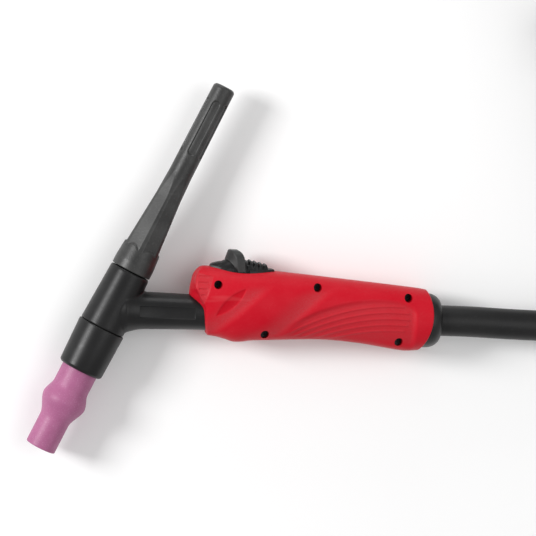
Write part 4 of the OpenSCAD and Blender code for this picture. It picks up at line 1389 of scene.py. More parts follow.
    def moulding(self, place: Matrix, handle: Matrix) -> bpy.types.Object:
        """Moulds the head and its neck in one, with a soft blend between them.

        Args:
            place: The head's place.
            handle: The handle's place, whose X axis is the neck's.

        Returns:
            The moulding.
        """
        e, low, top = self.head_edge, -self.head_down, self.head_up
        to_neck = handle.inverted() @ place
        outline = [(0, low), *arc((self.head_low_r - e, low + e), e, -90, 0, 6)]
        outline += [*arc((self.head_top_r - e, top - e), e, 0, 90, 6), (0, top)]
        barrel = moved(turned("moulding", outline), to_neck)
        combine(barrel, self.neck(), Cut.TOGETHER)
        apply_tool(barrel, "REMESH", mode="VOXEL", voxel_size=self.skin_voxel)
        soften(barrel, self.softness, self.soft_rounds)
        cutters = (
            moved(rod("bore", self.core_r, low - 1, self.core_top), to_neck),
            moved(rod("seat", self.seal_r, self.core_top - 0.1, top + 1), to_neck),
            moved(rod("way", self.tube_r, 0, self.neck_end + 1, 64), AXIS_ALONG_X),
            self.recess(),
        )
        for cutter in cutters:
            combine(barrel, cutter)
        shaded(moved(barrel, handle))
        return dress(barrel, HEAD_RUBBER, "torch", "head_rubber", "torch_head")

    def build(self, bench: Bench) -> list[bpy.types.Object]:
        """Builds the nozzle, the sleeve and the moulding.

        Args:
            bench: Where the head lies.

        Returns:
            The pieces.
        """
        place = bench.head()
        return [self.nozzle(place), self.sleeve(place), self.moulding(place, bench.handle())]


@dataclass(frozen=True)
class Cap:
    """The long back cap: a faceted cone and a stem with finger slots, in the head's own frame."""

    thread_low: float = 12.4
    thread_r: float = 6.3
    bore_r: float = 2.1
    end_wall: float = 4.0
    low: float = 21.4
    top: float = 123.4
    low_r: float = 10.2
    collar: float = 4.5
    cone_len: float = 53.0
    stem_r: float = 6.0
    end_r: float = 5.6
    low_round: float = 0.5
    end_round: float = 1.8
    facets: int = 6
    facet_cut: float = 0.085
    facet_past: float = 2.0
    facet_fade: float = 16.0
    turn: float = -7.0
    petal: float = 12.3
    petal_drop: float = 4.3
    petal_edge: float = 0.8
    slot_len: float = 30.0
    slot_w: float = 4.6
    slot_depth: float = 0.7
    slot_edge: float = 0.4
    slot_from_end: float = 8.0
    points: int = 240
    low_rows: tuple[float, ...] = (0.0, 0.12, 0.32, 0.6, 1.0)
    petal_step: float = 0.32
    petal_rows: int = 49
    cone_from: float = 16.2
    cone_rows: int = 44
    slots_from: float = 40.0
    slot_rows: int = 108
    end_rows: int = 9

    def radius(self, up: float, a: float) -> float:
        """Outer radius of the cap.

        Args:
            up: Height above its low end.
            a: Angle from the middle of the nearest facet in degrees.

        Returns:
            The radius there.
        """
        length, cone = self.top - self.low, self.cone_len
        down = length - up
        if up < cone:
            t = max(0.0, (up - self.collar) / (cone - self.collar))
            r = lerp(self.low_r, self.stem_r, t)
        else:
            r = lerp(self.stem_r, self.end_r, (up - cone) / (length - cone))
        r -= rounding(self.low_round, 1 - up / self.low_round)
        r -= rounding(self.end_round, 1 - down / self.end_round)
        half = HALF_TURN / self.facets
        drop = self.petal_drop * (a / half) ** 2
        share = smooth((up - self.petal + drop) / self.petal_edge)
        share *= smooth((cone + self.facet_past - up) / self.facet_fade)
        r = min(r, r * (1 - self.facet_cut * share) / math.cos(math.radians(a)))
        reach = (self.slot_len - self.slot_w) / 2
        past = max(0.0, abs(down - self.slot_from_end - self.slot_len / 2) - reach)
        aside = math.hypot(math.radians(half - abs(a)) * self.stem_r, past)
        return r - self.slot_depth * smooth((self.slot_w / 2 - aside) / self.slot_edge)

    def heights(self) -> list[float]:
        """Heights of its rows of points, closer where the shape turns quickly.

        Returns:
            The heights above its low end.
        """
        length, n, m = self.top - self.low, self.cone_rows, self.slot_rows
        stem, end = length - self.slots_from, length - self.end_round
        rows = [self.low_round * e for e in self.low_rows]
        rows += [self.low_round + self.petal_step * i for i in range(1, self.petal_rows + 1)]
        rows += [lerp(self.cone_from, stem, i / n) for i in range(1, n + 1)]
        rows += [lerp(stem, end, i / m) for i in range(1, m + 1)]
        steps = [math.pi / 2 * i / self.end_rows for i in range(1, self.end_rows + 1)]
        return rows + [end + self.end_round * math.sin(step) for step in steps]

    def row(self, up: float) -> list[Point3]:
        """One row of points round the cap.

        Args:
            up: Height above its low end.

        Returns:
            The points.
        """
        span = FULL_TURN / self.facets
        row = []
        for k in range(self.points):
            around = FULL_TURN * k / self.points
            r = self.radius(up, (around + span / 2) % span - span / 2)
            turn = math.radians(around + 90 + span / 2 + self.turn)
            row.append((r * math.cos(turn), r * math.sin(turn), self.low + up))
        return row

    def build(self, bench: Bench) -> bpy.types.Object:
        """Makes the cap row by row, then adds its spigot and bore.

        Args:
            bench: Where the head lies.

        Returns:
            The cap.
        """
        obj = lofted("cap", [self.row(up) for up in self.heights()])
        combine(obj, rod("spigot", self.thread_r, self.thread_low, self.low + 2), Cut.TOGETHER)
        combine(obj, rod("bore", self.bore_r, self.thread_low - 1, self.top - self.end_wall, 48))
        shaded(moved(obj, bench.head()), 50)
        return dress(obj, CAP_PLASTIC, "cap", "cap_plastic", "back_cap")


@dataclass(frozen=True)
class Oval:
    """Outline of the trigger's base seen from above, round its own middle."""

    length: float = 32.0
    width: float = 17.0
    tip: float = 3.0

    def radius(self) -> float:
        """Returns the radius of its long sides."""
        return ((self.length + 2 * self.tip) ** 2 + self.width**2) / (4 * self.width)

    def half_width(self, x: float) -> float:
        """Returns half its width at a distance x from its middle."""
        return math.sqrt(self.radius() ** 2 - x**2) - self.radius() + self.width / 2

    def outline(self, grow: float = 0.0, steps: int = 40) -> list[Point]:
        """Points of the outline.

        Args:
            grow: How much larger it is made.
            steps: Parts that each side is divided into.

        Returns:
            The points.
        """
        r = self.radius() + grow
        spread = math.degrees(math.asin((self.length / 2 + grow) / r))
        centre = (0.0, self.width / 2 - self.radius())
        upper = arc(centre, r, 90 - spread, 90 + spread, steps)
        return upper + [(-x, -y) for x, y in upper]


@dataclass(frozen=True)
class Handle:
    """The two red shells, in the handle's frame: u along it, v across it and z out of its plane."""

    nose: float = 38.4
    nose_v: float = 9.2
    nose_over: float = 0.026
    nose_ease: float = 2.4
    nose_slope: float = 0.75
    nose_curl: float = 0.0135
    rear: float = 160.0
    rear_v: float = 3.7
    rear_curve: float = 0.0145
    top: FairLine = FairLine(
        ((0, 23.2), (0.1, 23.4), (0.2, 23.0), (0.55, 20.1), (0.95, 16.2), (1, 15.4))
    )
    low: FairLine = FairLine((
        (0, -11.2), (0.04, -11.7), (0.08, -12.8), (0.119, -14), (0.158, -13.9), (0.2, -13.2),
        (0.275, -12.7), (0.52, -11.5), (0.7, -12.6), (0.93, -15.7), (1, -15.3),
    ))
    half: FairLine = FairLine(
        ((0, 11.2), (0.1, 13.8), (0.26, 16), (0.5, 15), (0.75, 14.8), (1, 14.7))
    )
    square: FairLine = FairLine(((0, 2.5), (0.2, 2.3), (0.8, 2.25), (1, 2.05)))
    edge_round: float = 1.2
    rear_round: float = 0.6
    plan: FairLine = FairLine(
        ((-9, 0), (-5.8, 0.3), (-0.8, 1.9), (4.1, 4.2), (9, 4.2), (12.9, 1.7), (19, 0))
    )
    plan_z: float = 9.4
    plan_share: float = 0.16
    detail_z: float = 6.0
    least_z: float = 0.2
    palm_line: FairLine = FairLine(
        ((84, -4), (104, 5.6), (122, 10.3), (139, 11), (148, 8.8), (153, 4))
    )
    palm_depth: float = 1.1
    # Where the palm's hollow begins and ends, and how gently at its ends, top and bottom.
    palm_span: Point = (84.0, 152.0)
    palm_fade: Point = (12.0, 3.0)
    palm_edges: Point = (3.0, 5.0)
    ridge_ends: tuple[float, ...] = (144.3, 146.9, 147.1, 146.3, 144.8)
    ridge_top: Point = (140.0, 7.4)
    ridge_pitch: float = 3.05
    ridge_curve: float = 0.0055
    ridge_h: float = 0.4
    ridge_w: float = 0.58
    ridge_crown: float = 1.3
    ridge_taper: float = 1.4
    # Here and below, a height where a form fades out, and over how much.
    ridge_low: Point = (-11.5, 3.0)
    ridge_root: float = 0.6
    valleys: tuple[Point, ...] = ((61.4, 3.4), (89.1, -0.4))
    valley_depth: float = 0.75
    valley_slant: Point = (0.682, -0.731)
    valley_sides: Point = (9.0, 4.0)
    valley_low: Point = (-12.0, 4.0)
    valley_high: Point = (17.0, 7.0)
    leaf_at: Point = (58.1, 6.6)
    leaf_half: Point = (10.4, 2.75)
    leaf_depth: float = 0.3
    leaf_edge: float = 0.5
    panel: tuple[Point, ...] = ((37.2, 21.6), (49.1, 18.7), (44.7, 4.4))
    panel_depth: float = 0.3
    panel_past: float = 0.3
    panel_edge: float = 0.5
    # Height, start and end of each line.
    panel_lines: tuple[Point3, ...] = (
        (18.6, 41.8, 48.0), (15.6, 41.7, 47.3), (12.4, 42.0, 46.4), (9.4, 43.2, 45.5)
    )
    line_depth: float = 0.4
    line_w: float = 0.35
    line_crown: float = 1.6
    line_end: float = 0.4
    fine_share: float = 0.26
    fine_rows: int = 110
    rows: int = 214
    end_rows: tuple[float, ...] = (0.0, 0.06, 0.15, 0.3, 0.5, 0.75)
    angle_step: float = 1.2
    side_angles: tuple[float, ...] = (0.02, 0.1, 0.3, 0.6)
    face_shares: tuple[float, ...] = (0.85, 0.7, 0.55, 0.4, 0.25, 0.1, 0.0)
    wall: float = 2.4
    parting: float = 0.1
    room: Point = (52.4, 152.4)
    room_rows: int = 30
    room_points: int = 28
    boss_r: float = 3.6
    screws: tuple[Point, ...] = (
        (51.4, 15), (75.9, -9), (101.1, 15.2), (147.2, 11.6), (143.6, -10.6)
    )
    screw_r: float = 2.15
    screw_seat: float = 3.0
    # Radius, start and end of each bore.
    screw_hole: Point3 = (1.3, -1.0, 12.0)
    neck_bore: Point3 = (8.9, 29.0, 52.8)
    boot_v: float = -0.1
    boot_bores: tuple[tuple[Point3, int], ...] = (
        ((12.05, 149.0, 152.4), 96), ((10.65, 151.0, 166.0), 96), ((13.75, 155.8, 166.0), 128)
    )
    oval: Oval = Oval()
    oval_mid: float = 64.2
    oval_fit: float = 0.1
    pocket_floor: float = 19.5
    pocket_top: float = 34.0
    pocket_end: float = 83.2
    slot: tuple[Point3, Point3] = ((55.8, 12.5, -6.4), (66.2, 23.4, 6.4))
    top_v: float = 20.0
    bare_z: float = 4.0
    # How worn the valleys and the palm's hollow are, and how much painted light the nose panel
    # gets.
    worn_and_lit: Point3 = (0.9, 0.6, 0.8)
    worn_low: float = -13.0

    def front_u(self, v: float) -> float:
        """Front edge on the parting plane.

        Args:
            v: Height on the handle.

        Returns:
            Where the edge lies along the handle.
        """
        d, ease = self.nose_v - v, self.nose_ease
        if d < 0:
            return self.nose + self.nose_over * d * d
        e = d * d / (2 * ease) if d < ease else d - ease / 2
        return self.nose + self.nose_slope * e - self.nose_curl * e * e

    def back_u(self, v: float) -> float:
        """Returns where the rear edge lies at a height v."""
        return self.rear - self.rear_curve * (v - self.rear_v) ** 2

    def palm(self, u: float, v: float, low: float) -> float:
        """Depth of the palm's hollow.

        Args:
            u: Place along the handle.
            v: Height on it.
            low: Height of its lower edge there.

        Returns:
            The depth.
        """
        (first, last), (fade_in, fade_out) = self.palm_span, self.palm_fade
        upper, lower = self.palm_edges
        edge = smooth((self.palm_line.at(u) - v) / upper) * smooth((v - low) / lower)
        edge *= smooth((u - first) / fade_in) * smooth((last - u) / fade_out)
        return self.palm_depth * edge

    def grip(self, u: float, v: float) -> float:
        """Height of the grip's ridges.

        Args:
            u: Place along the handle.
            v: Height on it.

        Returns:
            The height at that point.
        """
        tall = 0.0
        before = self.ridge_top[0] - u
        slant = math.hypot(1, 2 * self.ridge_curve * before)
        low, fade = self.ridge_low
        for k, end in enumerate(self.ridge_ends):
            line = self.ridge_top[1] - self.ridge_pitch * k - self.ridge_curve * before**2
            across = abs(v - line) / slant
            ridge = smooth(self.ridge_crown - across / self.ridge_w)
            tall = max(tall, ridge * smooth((end - u) / self.ridge_taper + 1))
        return self.ridge_h * tall * smooth((v - low) / fade)

    def valley(self, u: float, v: float) -> float:
        """Depth of the two slanting valleys.

        Args:
            u: Place along the handle.
            v: Height on it.

        Returns:
            The depth at that point.
        """
        deep = 0.0
        (low, fade_low), (high, fade_high) = self.valley_low, self.valley_high
        for mid in self.valleys:
            w = self.valley_slant[0] * (u - mid[0]) + self.valley_slant[1] * (v - mid[1])
            deep = max(deep, smooth(1 - abs(w) / self.valley_sides[0 if w < 0 else 1]))
        deep *= smooth((v - low) / fade_low) * smooth((high - v) / fade_high)
        return self.valley_depth * deep

    def leaf(self, u: float, v: float) -> float:
        """Depth of the leaf-shaped thumb rest.

        Args:
            u: Place along the handle.
            v: Height on it.

        Returns:
            The depth at that point.
        """
        du, dv = u - self.leaf_at[0], v - self.leaf_at[1]
        along, across = (du + dv) * math.sqrt(0.5), (du - dv) * math.sqrt(0.5)
        wide = self.leaf_half[1] * (1 - (along / self.leaf_half[0]) ** 2)
        if wide <= 0:
            return 0.0
        return self.leaf_depth * smooth((wide - abs(across)) / self.leaf_edge)

    def front_panel(self, u: float, v: float) -> float:
        """Depth of the flat three-cornered panel at the nose and of its lines.

        Args:
            u: Place along the handle.
            v: Height on it.

        Returns:
            The depth at that point.
        """
        inside = math.inf
        for (u0, v0), (u1, v1) in zip(self.panel, self.panel[1:] + self.panel[:1]):
            length = math.hypot(u1 - u0, v1 - v0)
            inside = min(inside, ((v1 - v0) * (u - u0) - (u1 - u0) * (v - v0)) / length)
        if inside <= -self.panel_past:
            return 0.0
        deep = 0.0
        for line, first, last in self.panel_lines:
            groove = smooth(self.line_crown - abs(v - line) / self.line_w)
            ends = smooth((u - first) / self.line_end) * smooth((last - u) / self.line_end)
            deep = max(deep, groove * ends)
        flat = self.panel_depth * smooth((inside + self.panel_past) / self.panel_edge)
        return flat + self.line_depth * deep

    def detail(self, u: float, v: float, low: float) -> float:
        """How far the moulded forms take the skin in.

        Args:
            u: Place along the handle.
            v: Height on it.
            low: Height of its lower edge there.

        Returns:
            The depth at that point.
        """
        hollow = self.palm(u, v, low)
        raised = self.grip(u, v) * min(1.0, hollow / (self.ridge_root * self.palm_depth))
        valley = self.valley(u, v) * (1 - hollow / self.palm_depth)
        return hollow + valley + self.leaf(u, v) + self.front_panel(u, v) - raised

    def drawn_back(self, v: float, z: float) -> float:
        """Returns how far the nose is drawn back at a height v and a distance z beside the neck."""
        return self.plan.at(v) * min(1.0, z / self.plan_z) ** 2

    def end_inset(self, t: float) -> float:
        """Returns how far the rounded ends draw the outline in at a share t of the length."""
        r = self.edge_round if t < 0.5 else self.rear_round
        return rounding(r, 1 - min(t, 1 - t) * (self.rear - self.nose) / r)

    def skin_point(self, t: float, a: float) -> Point3:
        """Point of the outer skin.

        Args:
            t: Share of the length.
            a: Angle round the section in degrees, 0 at the top and 180 at the bottom.

        Returns:
            The point, on the near side.
        """
        inset = self.end_inset(t)
        top, low = self.top.at(t) - inset, self.low.at(t) + inset
        power = 2 / self.square.at(t)
        c, s = math.cos(math.radians(a)), math.sin(math.radians(a))
        v = (top + low) / 2 + (top - low) / 2 * squared(c, power)
        u = lerp(self.front_u(v), self.back_u(v), t)
        z = (self.half.at(t) - inset) * abs(s) ** power
        if z < 0.001:
            return (u, v, 0.0)
        u += self.drawn_back(v, z) * max(0.0, 1 - t / self.plan_share) ** 2
        skin = z - self.detail(u, v, low) * smooth(z / self.detail_z)
        return (u, v, max(self.least_z * z, skin))

    def stations(self) -> list[float]:
        """Places of the sections, closer at the ends.

        Returns:
            The shares of the length at which they are taken.
        """
        length, n, m = self.rear - self.nose, self.fine_rows, self.rows
        nose, rear = self.edge_round / length, self.rear_round / length
        shares = [nose * e for e in self.end_rows]
        shares += [lerp(nose, self.fine_share, i / n) for i in range(n)]
        shares += [lerp(self.fine_share, 1 - rear, i / m) for i in range(m + 1)]
        return shares + [1 - rear * e for e in reversed(self.end_rows)]

    def angles(self) -> list[float]:
        """Returns the angles round a section, closer at its widest place."""
        even = [self.angle_step * j for j in range(round(HALF_TURN / self.angle_step) + 1)]
        return sorted(even + [90 + way * e for e in self.side_angles for way in (-1, 1)])

    def half_solid(self) -> bpy.types.Object:
        """Lofts the solid half of the handle on the near side.

        Returns:
            A closed solid that ends on the parting plane.
        """
        stations, angles = self.stations(), self.angles()
        n, m = len(stations), len(angles)
        points = [self.skin_point(t, angle) for t in stations for angle in angles]
        faces = quads(n, m, ring=False)
        mids = []
        for i, shares in ((0, self.face_shares), (n - 1, (0.0,))):
            ring = row = [i * m + j for j in range(m)]
            for share in shares:
                row, old = [ring[0]], row
                for k in ring[1:-1]:
                    u, v, z = points[k]
                    if i == 0:
                        u += self.drawn_back(v, z * share) - self.drawn_back(v, z)
                    row.append(len(points))
                    points.append((u, v, z * share))
                row.append(ring[-1])
                sides = zip(old, old[1:], row[1:], row)
                faces += [list(dict.fromkeys(corners)) for corners in sides]
            mids.append(row)
        bottom = [i * m + m - 1 for i in range(1, n - 1)]
        upper = [i * m for i in range(n - 2, 0, -1)]
        faces.append(mids[0] + bottom + mids[1][::-1] + upper)
        return close_up(new_mesh("shell", points, faces=faces))

    def cavity(self) -> bpy.types.Object:
        """Lofts the room inside both shells.

        Returns:
            The cutter.
        """
        start = self.front_u(self.low.at(0))
        rows = []
        for i in range(self.room_rows):
            u = lerp(*self.room, i / (self.room_rows - 1))
            t = (u - start) / (self.back_u(0) - start)
            top, low = self.top.at(t) - self.wall, self.low.at(t) + self.wall
            if u < self.pocket_end:
                top = min(top, self.pocket_floor - self.wall)
            half, power = self.half.at(t) - self.wall - self.palm_depth, 2 / self.square.at(t)
            row = []
            for j in range(self.room_points):
                a = 2 * math.pi * (j + 0.5) / self.room_points
                v = (top + low) / 2 + (top - low) / 2 * squared(math.cos(a), power)
                row.append((u, v, half * squared(math.sin(a), power)))
            rows.append(row)
        room = lofted("cavity", rows)
        for u, v in self.screws:
            boss = rod("boss", self.boss_r, -40, 40, 32)
            combine(room, moved(boss, Matrix.Translation((u, v, 0))))
        return room

    def skin_height(self, u: float, z: float) -> float:
        """Height of the skin's upper side.

        Args:
            u: Place along the handle.
            z: Distance from the parting plane.

        Returns:
            The height there.
        """
        front, back = self.front_u(self.top_v), self.back_u(self.top_v)
        t = (u - front) / (back - front)
        top, low = self.top.at(t), self.low.at(t)
        return (top + low) / 2 + (top - low) / 2 * crown(z / self.half.at(t), self.square.at(t))

    def boot_axis(self) -> Matrix:
        """Returns the turn from a lathe's axis to the axis of the boot."""
        return Matrix.Translation((0, self.boot_v, 0)) @ AXIS_ALONG_X

    def cutters(self, side: Side) -> list[bpy.types.Object]:
        """Makes all that is cut away from one shell.

        Args:
            side: Which of the two.

        Returns:
            The cutters.
        """
        outline = self.oval.outline(self.oval_fit)
        pocket = pushed("pocket", outline, self.pocket_floor, self.pocket_top)
        made = [
            block("plane", (20, -60, -5), (200, 60, self.parting / 2)),
            self.cavity(),
            moved(rod("neck", *self.neck_bore), AXIS_ALONG_X),
        ]
        for size, sides in self.boot_bores:
            made.append(moved(rod("boot", *size, sides), self.boot_axis()))
        made.append(moved(pocket, Matrix.Translation((self.oval_mid, 0, 0)) @ AXIS_ALONG_Y))
        made.append(block("slot", *self.slot))
        if side is Side.NEAR:
            places = [Matrix.Translation((u, v, 0)) for u, v in self.screws]
            made += [moved(rod("head", self.screw_r, self.screw_seat, 40, 40), p) for p in places]
            made += [moved(rod("hole", *self.screw_hole, 24), p) for p in places]
        return made

    def shell(self, side: Side, place: Matrix) -> bpy.types.Object:
        """Makes one shell.

        Args:
            side: Which of the two.
            place: The handle's place.

        Returns:
            The shell.
        """
        obj = self.half_solid()
        obj.name = f"shell_{side.value}"
        for cutter in self.cutters(side):
            combine(obj, cutter)
        if side is Side.FAR:
            moved(obj, Matrix.Scale(-1, 4, (0, 0, 1)))
            with editing(obj):
                bpy.ops.mesh.normals_make_consistent(inside=False)
        self.mark(obj)
        shaded(moved(obj, place), 32)
        return dress(obj, RED_SHELL, "torch", "handle_red", f"handle_shell_{side.value}")

    def mark(self, obj: bpy.types.Object) -> None:
        """Stores where the skin is polished (above 0) and where it is paler (below 0): worn, and
        painted light on the nose panel.

        Args:
            obj: The shell, whose finish reads these marks.
        """
        tint = obj.data.attributes.new("tint", "FLOAT", "POINT")
        valley, palm, panel = self.worn_and_lit
        for vertex, value in zip(obj.data.vertices, tint.data):
            u, v, z = vertex.co
            if abs(z) < self.bare_z:
                continue
            hollow = self.palm(u, v, self.worn_low) / self.palm_depth
            worn_and_lit = max(
                valley * self.valley(u, v) / self.valley_depth * (1 - hollow),
                palm * hollow,
                # The nose panel is painted paler, which is painted light: the panel faces the lamp
                # on the left.
                panel * smooth(self.front_panel(u, v) / self.panel_depth),
            )
            value.value = self.leaf(u, v) / self.leaf_depth - worn_and_lit

    def build(self, bench: Bench) -> list[bpy.types.Object]:
        """Builds the shells.

        Args:
            bench: Where the handle lies.

        Returns:
            The pieces.
        """
        return [self.shell(side, bench.handle()) for side in Side]


@dataclass(frozen=True)
class Boot:
    """The rubber boot that closes the rear of the handle, in the handle's own frame."""

    hole_r: float = 3.4
    # Radius, start and end of the flange.
    flange: Point3 = (12.0, 149.4, 152.35)
    waist_r: float = 10.6
    start: float = 155.85
    edge: float = 0.3
    end: float = 165.6
    wide_r: float = 13.7
    end_r: float = 8.25
    bulge: float = 7.2
    dome_steps: int = 24
    hose_r: float = 7.75
    hose_in: float = 0.8

    def build(self, bench: Bench, handle: Handle) -> bpy.types.Object:
        """Turns the boot.

        Args:
            bench: Where the handle lies.
            handle: The handle that it closes.

        Returns:
            The boot.
        """
        flange_r, low, high = self.flange
        outline = [(self.hole_r, low), (flange_r, low), (flange_r, high), (self.waist_r, high)]
        outline += [(self.waist_r, self.start), (self.wide_r - self.edge, self.start)]
        outline.append((self.wide_r, self.start + self.edge))
        for i in range(self.dome_steps + 1):
            a = math.radians(90 * i / self.dome_steps)
            up = self.end - self.bulge + self.bulge * math.sin(a)
            outline.append((lerp(self.end_r, self.wide_r, math.cos(a)), up))
        inner = self.end - self.hose_in
        outline += [(self.hose_r, self.end), (self.hose_r, inner), (self.hole_r, inner)]
        obj = moved(turned("boot", outline, 144), handle.boot_axis())
        shaded(moved(obj, bench.handle()))
        return dress(obj, BOOT_RUBBER, "torch", "boot_rubber", "rear_boot")


@dataclass(frozen=True)
class Trigger:
    """The rocker trigger on its oval base, in the handle's own frame."""

    pin: Point = (61.0, 12.5)
    gap: float = 0.3
    # Radius round the pin at the sides and in the middle, and half its width.
    dome: Point3 = (8.2, 15.2, 7.05)
    dome_power: float = 2.6
    dome_front: float = 7.4
    oval: Oval = Oval()
    oval_steps: int = 110
    oval_rings: int = 76
    base_mid: float = 64.2
    base_edge: float = 0.5
    edge_share: float = 0.05
    floor: float = 19.55
    lip: float = 1.1
    ramp: FairLine = FairLine(((48.2, 0.0), (50.2, 0.75), (53.6, 1.45), (57, 1.6)))
    ramp_end: float = 3.0
    ramp_in: float = 0.5
    notch: Point = (59.4, 67.2)
    notch_floor: float = 0.15
    ribs: Point = (66.8, 77.0)
    ribs_before: float = 0.8
    rib_tops: Point = (27.3, 25.1)
    rib_count: int = 4
    rib_h: float = 2.2
    rib_round: float = 1.2
    rib_w: float = 6.7
    rib_in: float = 0.8
    narrowest: float = 0.1
    arch: int = 4
    # Half its width, and its inner and outer distance from the middle.
    lug: Point3 = (2.6, 3.4, 5.4)
    pin_hole_r: float = 1.05
    slot_half: float = 2.6
    slot_deep: float = 14.0
    slot_low: float = 4.0
    tilt: float = 5.0
    fin_w: float = 16.6
    fin_top: float = 31.8
    fin_low: float = 20.8
    fin_round: float = 0.7
    fin_crest: float = 0.8
    fin_sides: Point = (0.1, 0.985)
    fin_clear: Point = (0.3, 0.35)
    fin_feet: Point = (56.0, 65.0)
    # Place of a face, its lean and the height of its foot. Then how far it bows in the middle:
    # in front with a slope about a height, behind from a height on and over how much.
    front: Point3 = (61.5, 0.1, 21.0)
    front_bow: Point3 = (6.2, 0.45, 25.6)
    front_soft: float = 3.0
    rear: Point3 = (65.6, 0.14, 20.5)
    rear_bow: Point3 = (2.2, 26.0, 5.0)
    fin_inner: float = 0.82
    under_steps: int = 14
    side_steps: int = 12
    # Two corners of each block of the stem, from the pin.
    stem: tuple[tuple[Point3, Point3], ...] = (
        ((-2.1, 0, -3), (2.1, 16.5, 3)),
        ((-7, -3.564, -3), (7, -2.164, 3)),
        ((-2.1, -3.564, -3), (2.1, 0, 3)),
    )
    # Radius, start and end of the hub.
    hub: Point3 = (2.6, -3.0, 3.0)
    hub_hole_r: float = 1.1

    def saddle(self, z: float) -> float:
        """Returns the radius of the dome under the lever at a distance z from the middle."""
        low, high, wide = self.dome
        return low + (high - low) * crown(z / wide, self.dome_power)

    def height(self, handle: Handle, u: float, z: float) -> float:
        """Height of the base's upper side.

        Args:
            handle: The handle that it sits in.
            u: Place along the handle.
            z: Distance from the middle.

        Returns:
            The height there.
        """
        pu, pv = self.pin
        under_lever = abs(z) < self.dome[2]
        if abs(z) > self.dome[2] and self.notch[0] < u < self.notch[1]:
            return self.floor + self.notch_floor
        wide = self.oval.half_width(u - self.base_mid)
        best = rim = handle.skin_height(u, z) + self.lip
        if u < pu - self.ramp_end:
            middle = self.ramp.at(u) + handle.skin_height(u, 0) + self.lip
            best += (middle - rim) * crown(z / max(self.narrowest, wide - self.ramp_in), 2)
        saddle = self.saddle(z)
        if abs(u - pu) < saddle and u < self.ribs[0]:
            rocked = pv + math.sqrt(saddle**2 - (u - pu) ** 2)
            best = rocked if u > pu - self.dome_front and under_lever else max(best, rocked)
        if self.ribs[0] - self.ribs_before < u < self.ribs[1]:
            across = max(self.narrowest, min(self.rib_w, wide - self.rib_in))
            tall = max(0.0, self.rib_height(u) - rim)
            best = max(best, rim + tall * crown(z / across, self.arch))
        return best

    def rib_height(self, u: float) -> float:
        """Height of the ribs behind the lever.

        Args:
            u: Place along the handle.

        Returns:
            The height there, at the middle.
        """
        first, last = self.ribs
        part = max(0.0, u - first) / (last - first) * self.rib_count
        lobe = 1 - crown(self.rib_round * (2 * (part % 1) - 1), 2)
        return lerp(*self.rib_tops, part / self.rib_count) - self.rib_h * lobe

    def at_pin(self, low: Point3, high: Point3) -> bpy.types.Object:
        """Adds a box whose corners are given from the pin.

        Args:
            low: Lowest corner.
            high: Highest corner.

        Returns:
            The box.
        """
        pu, pv = self.pin
        corners = [(u + pu, v + pv, z) for u, v, z in (low, high)]
        return block("box", *corners)

    def base(self, handle: Handle, place: Matrix) -> bpy.types.Object:
        """Makes the base: a boat-shaped dome with ribs behind the lever.

        Args:
            handle: The handle that it sits in.
            place: The handle's place.

        Returns:
            The base.
        """
        oval, rings = self.oval.outline(0, self.oval_steps), self.oval_rings
        m = len(oval)
        points = [(self.base_mid, self.height(handle, self.base_mid, 0), 0.0)]
        for i in range(1, rings + 1):
            s = i / rings
            fall = rounding(self.base_edge, (s - 1 + self.edge_share) / self.edge_share)
            for x, y in oval:
                u, z = self.base_mid + x * s, y * s
                points.append((u, self.height(handle, u, z) - fall, z))
        points += [(self.base_mid + x, self.floor, y) for x, y in oval]
        faces = [[0, 1 + k, 1 + (k + 1) % m] for k in range(m)]
        faces += quads(rings + 1, m, first=1)
        faces.append([1 + rings * m + k for k in range(m)])
        obj = close_up(new_mesh("trigger_base", points, faces=faces))
        wide, inner, outer = self.lug
        top = self.floor + 1 - self.pin[1]
        for low, high in ((-outer, -inner), (inner, outer)):
            lug = self.at_pin((-wide, -wide, low), (wide, top, high))
            combine(obj, lug, Cut.TOGETHER, Solver.EXACT)
        half = self.slot_half + self.slot_deep * math.sin(math.radians(self.tilt))
        slot = self.at_pin((-half, -self.slot_low, -inner), (half, 30, inner))
        combine(obj, slot, solver=Solver.EXACT)
        self.drill(obj, self.pin_hole_r)
        shaded(moved(obj, place))
        return dress(obj, TRIGGER_BLACK, "torch", "trigger_black", "trigger_base")

    def drill(self, obj: bpy.types.Object, radius: float) -> None:
        """Drills a piece for the pin."""
        hole = moved(rod("pin_hole", radius, -10, 10, 32), Matrix.Translation((*self.pin, 0)))
        combine(obj, hole, solver=Solver.EXACT)

    def fin_section(self, z: float) -> list[Point]:
        """Outline of the lever's fin.

        Args:
            z: Distance from the middle.

        Returns:
            The points, from the front foot along the underside and over the top.
        """
        pu, pv = self.pin
        half, dome = self.fin_w / 2, self.dome[2]
        inset = rounding(self.fin_round, (abs(z) - half + self.fin_round) / self.fin_round)
        bulge = 1 - (z / half) ** 2
        share = min(self.fin_sides[1], abs(z) / (half + self.fin_sides[0]))
        top = self.fin_low + (self.fin_top - self.fin_low) * crown(share, self.arch) - inset
        saddle = self.saddle(abs(z) * dome / (dome + self.fin_clear[1])) + self.gap
        outer = abs(z) > dome + self.fin_clear[0]

        def front(v: float) -> float:
            """Front face of the fin.

            Args:
                v: Height on it.

            Returns:
                Where the face is along the handle.
            """
            (at, lean, foot), (out, rise, mid) = self.front, self.front_bow
            bow = bulge * (rise * (v - mid) - out) * smooth((v - foot) / self.front_soft)
            return at - lean * (v - foot) + bow + inset

        def rear(v: float) -> float:
            """Returns where the rear face is at a height v."""
            (at, lean, foot), (out, start, soft) = self.rear, self.rear_bow
            return at - lean * (v - foot) - bulge * out * smooth((v - start) / soft) - inset

        def low(u: float) -> float:
            """Returns the height of the underside at a place u."""
            rocked = pv + math.sqrt(max(0.0, saddle**2 - (u - pu) ** 2))
            return self.fin_low + inset if outer else max(self.fin_low + inset, rocked)

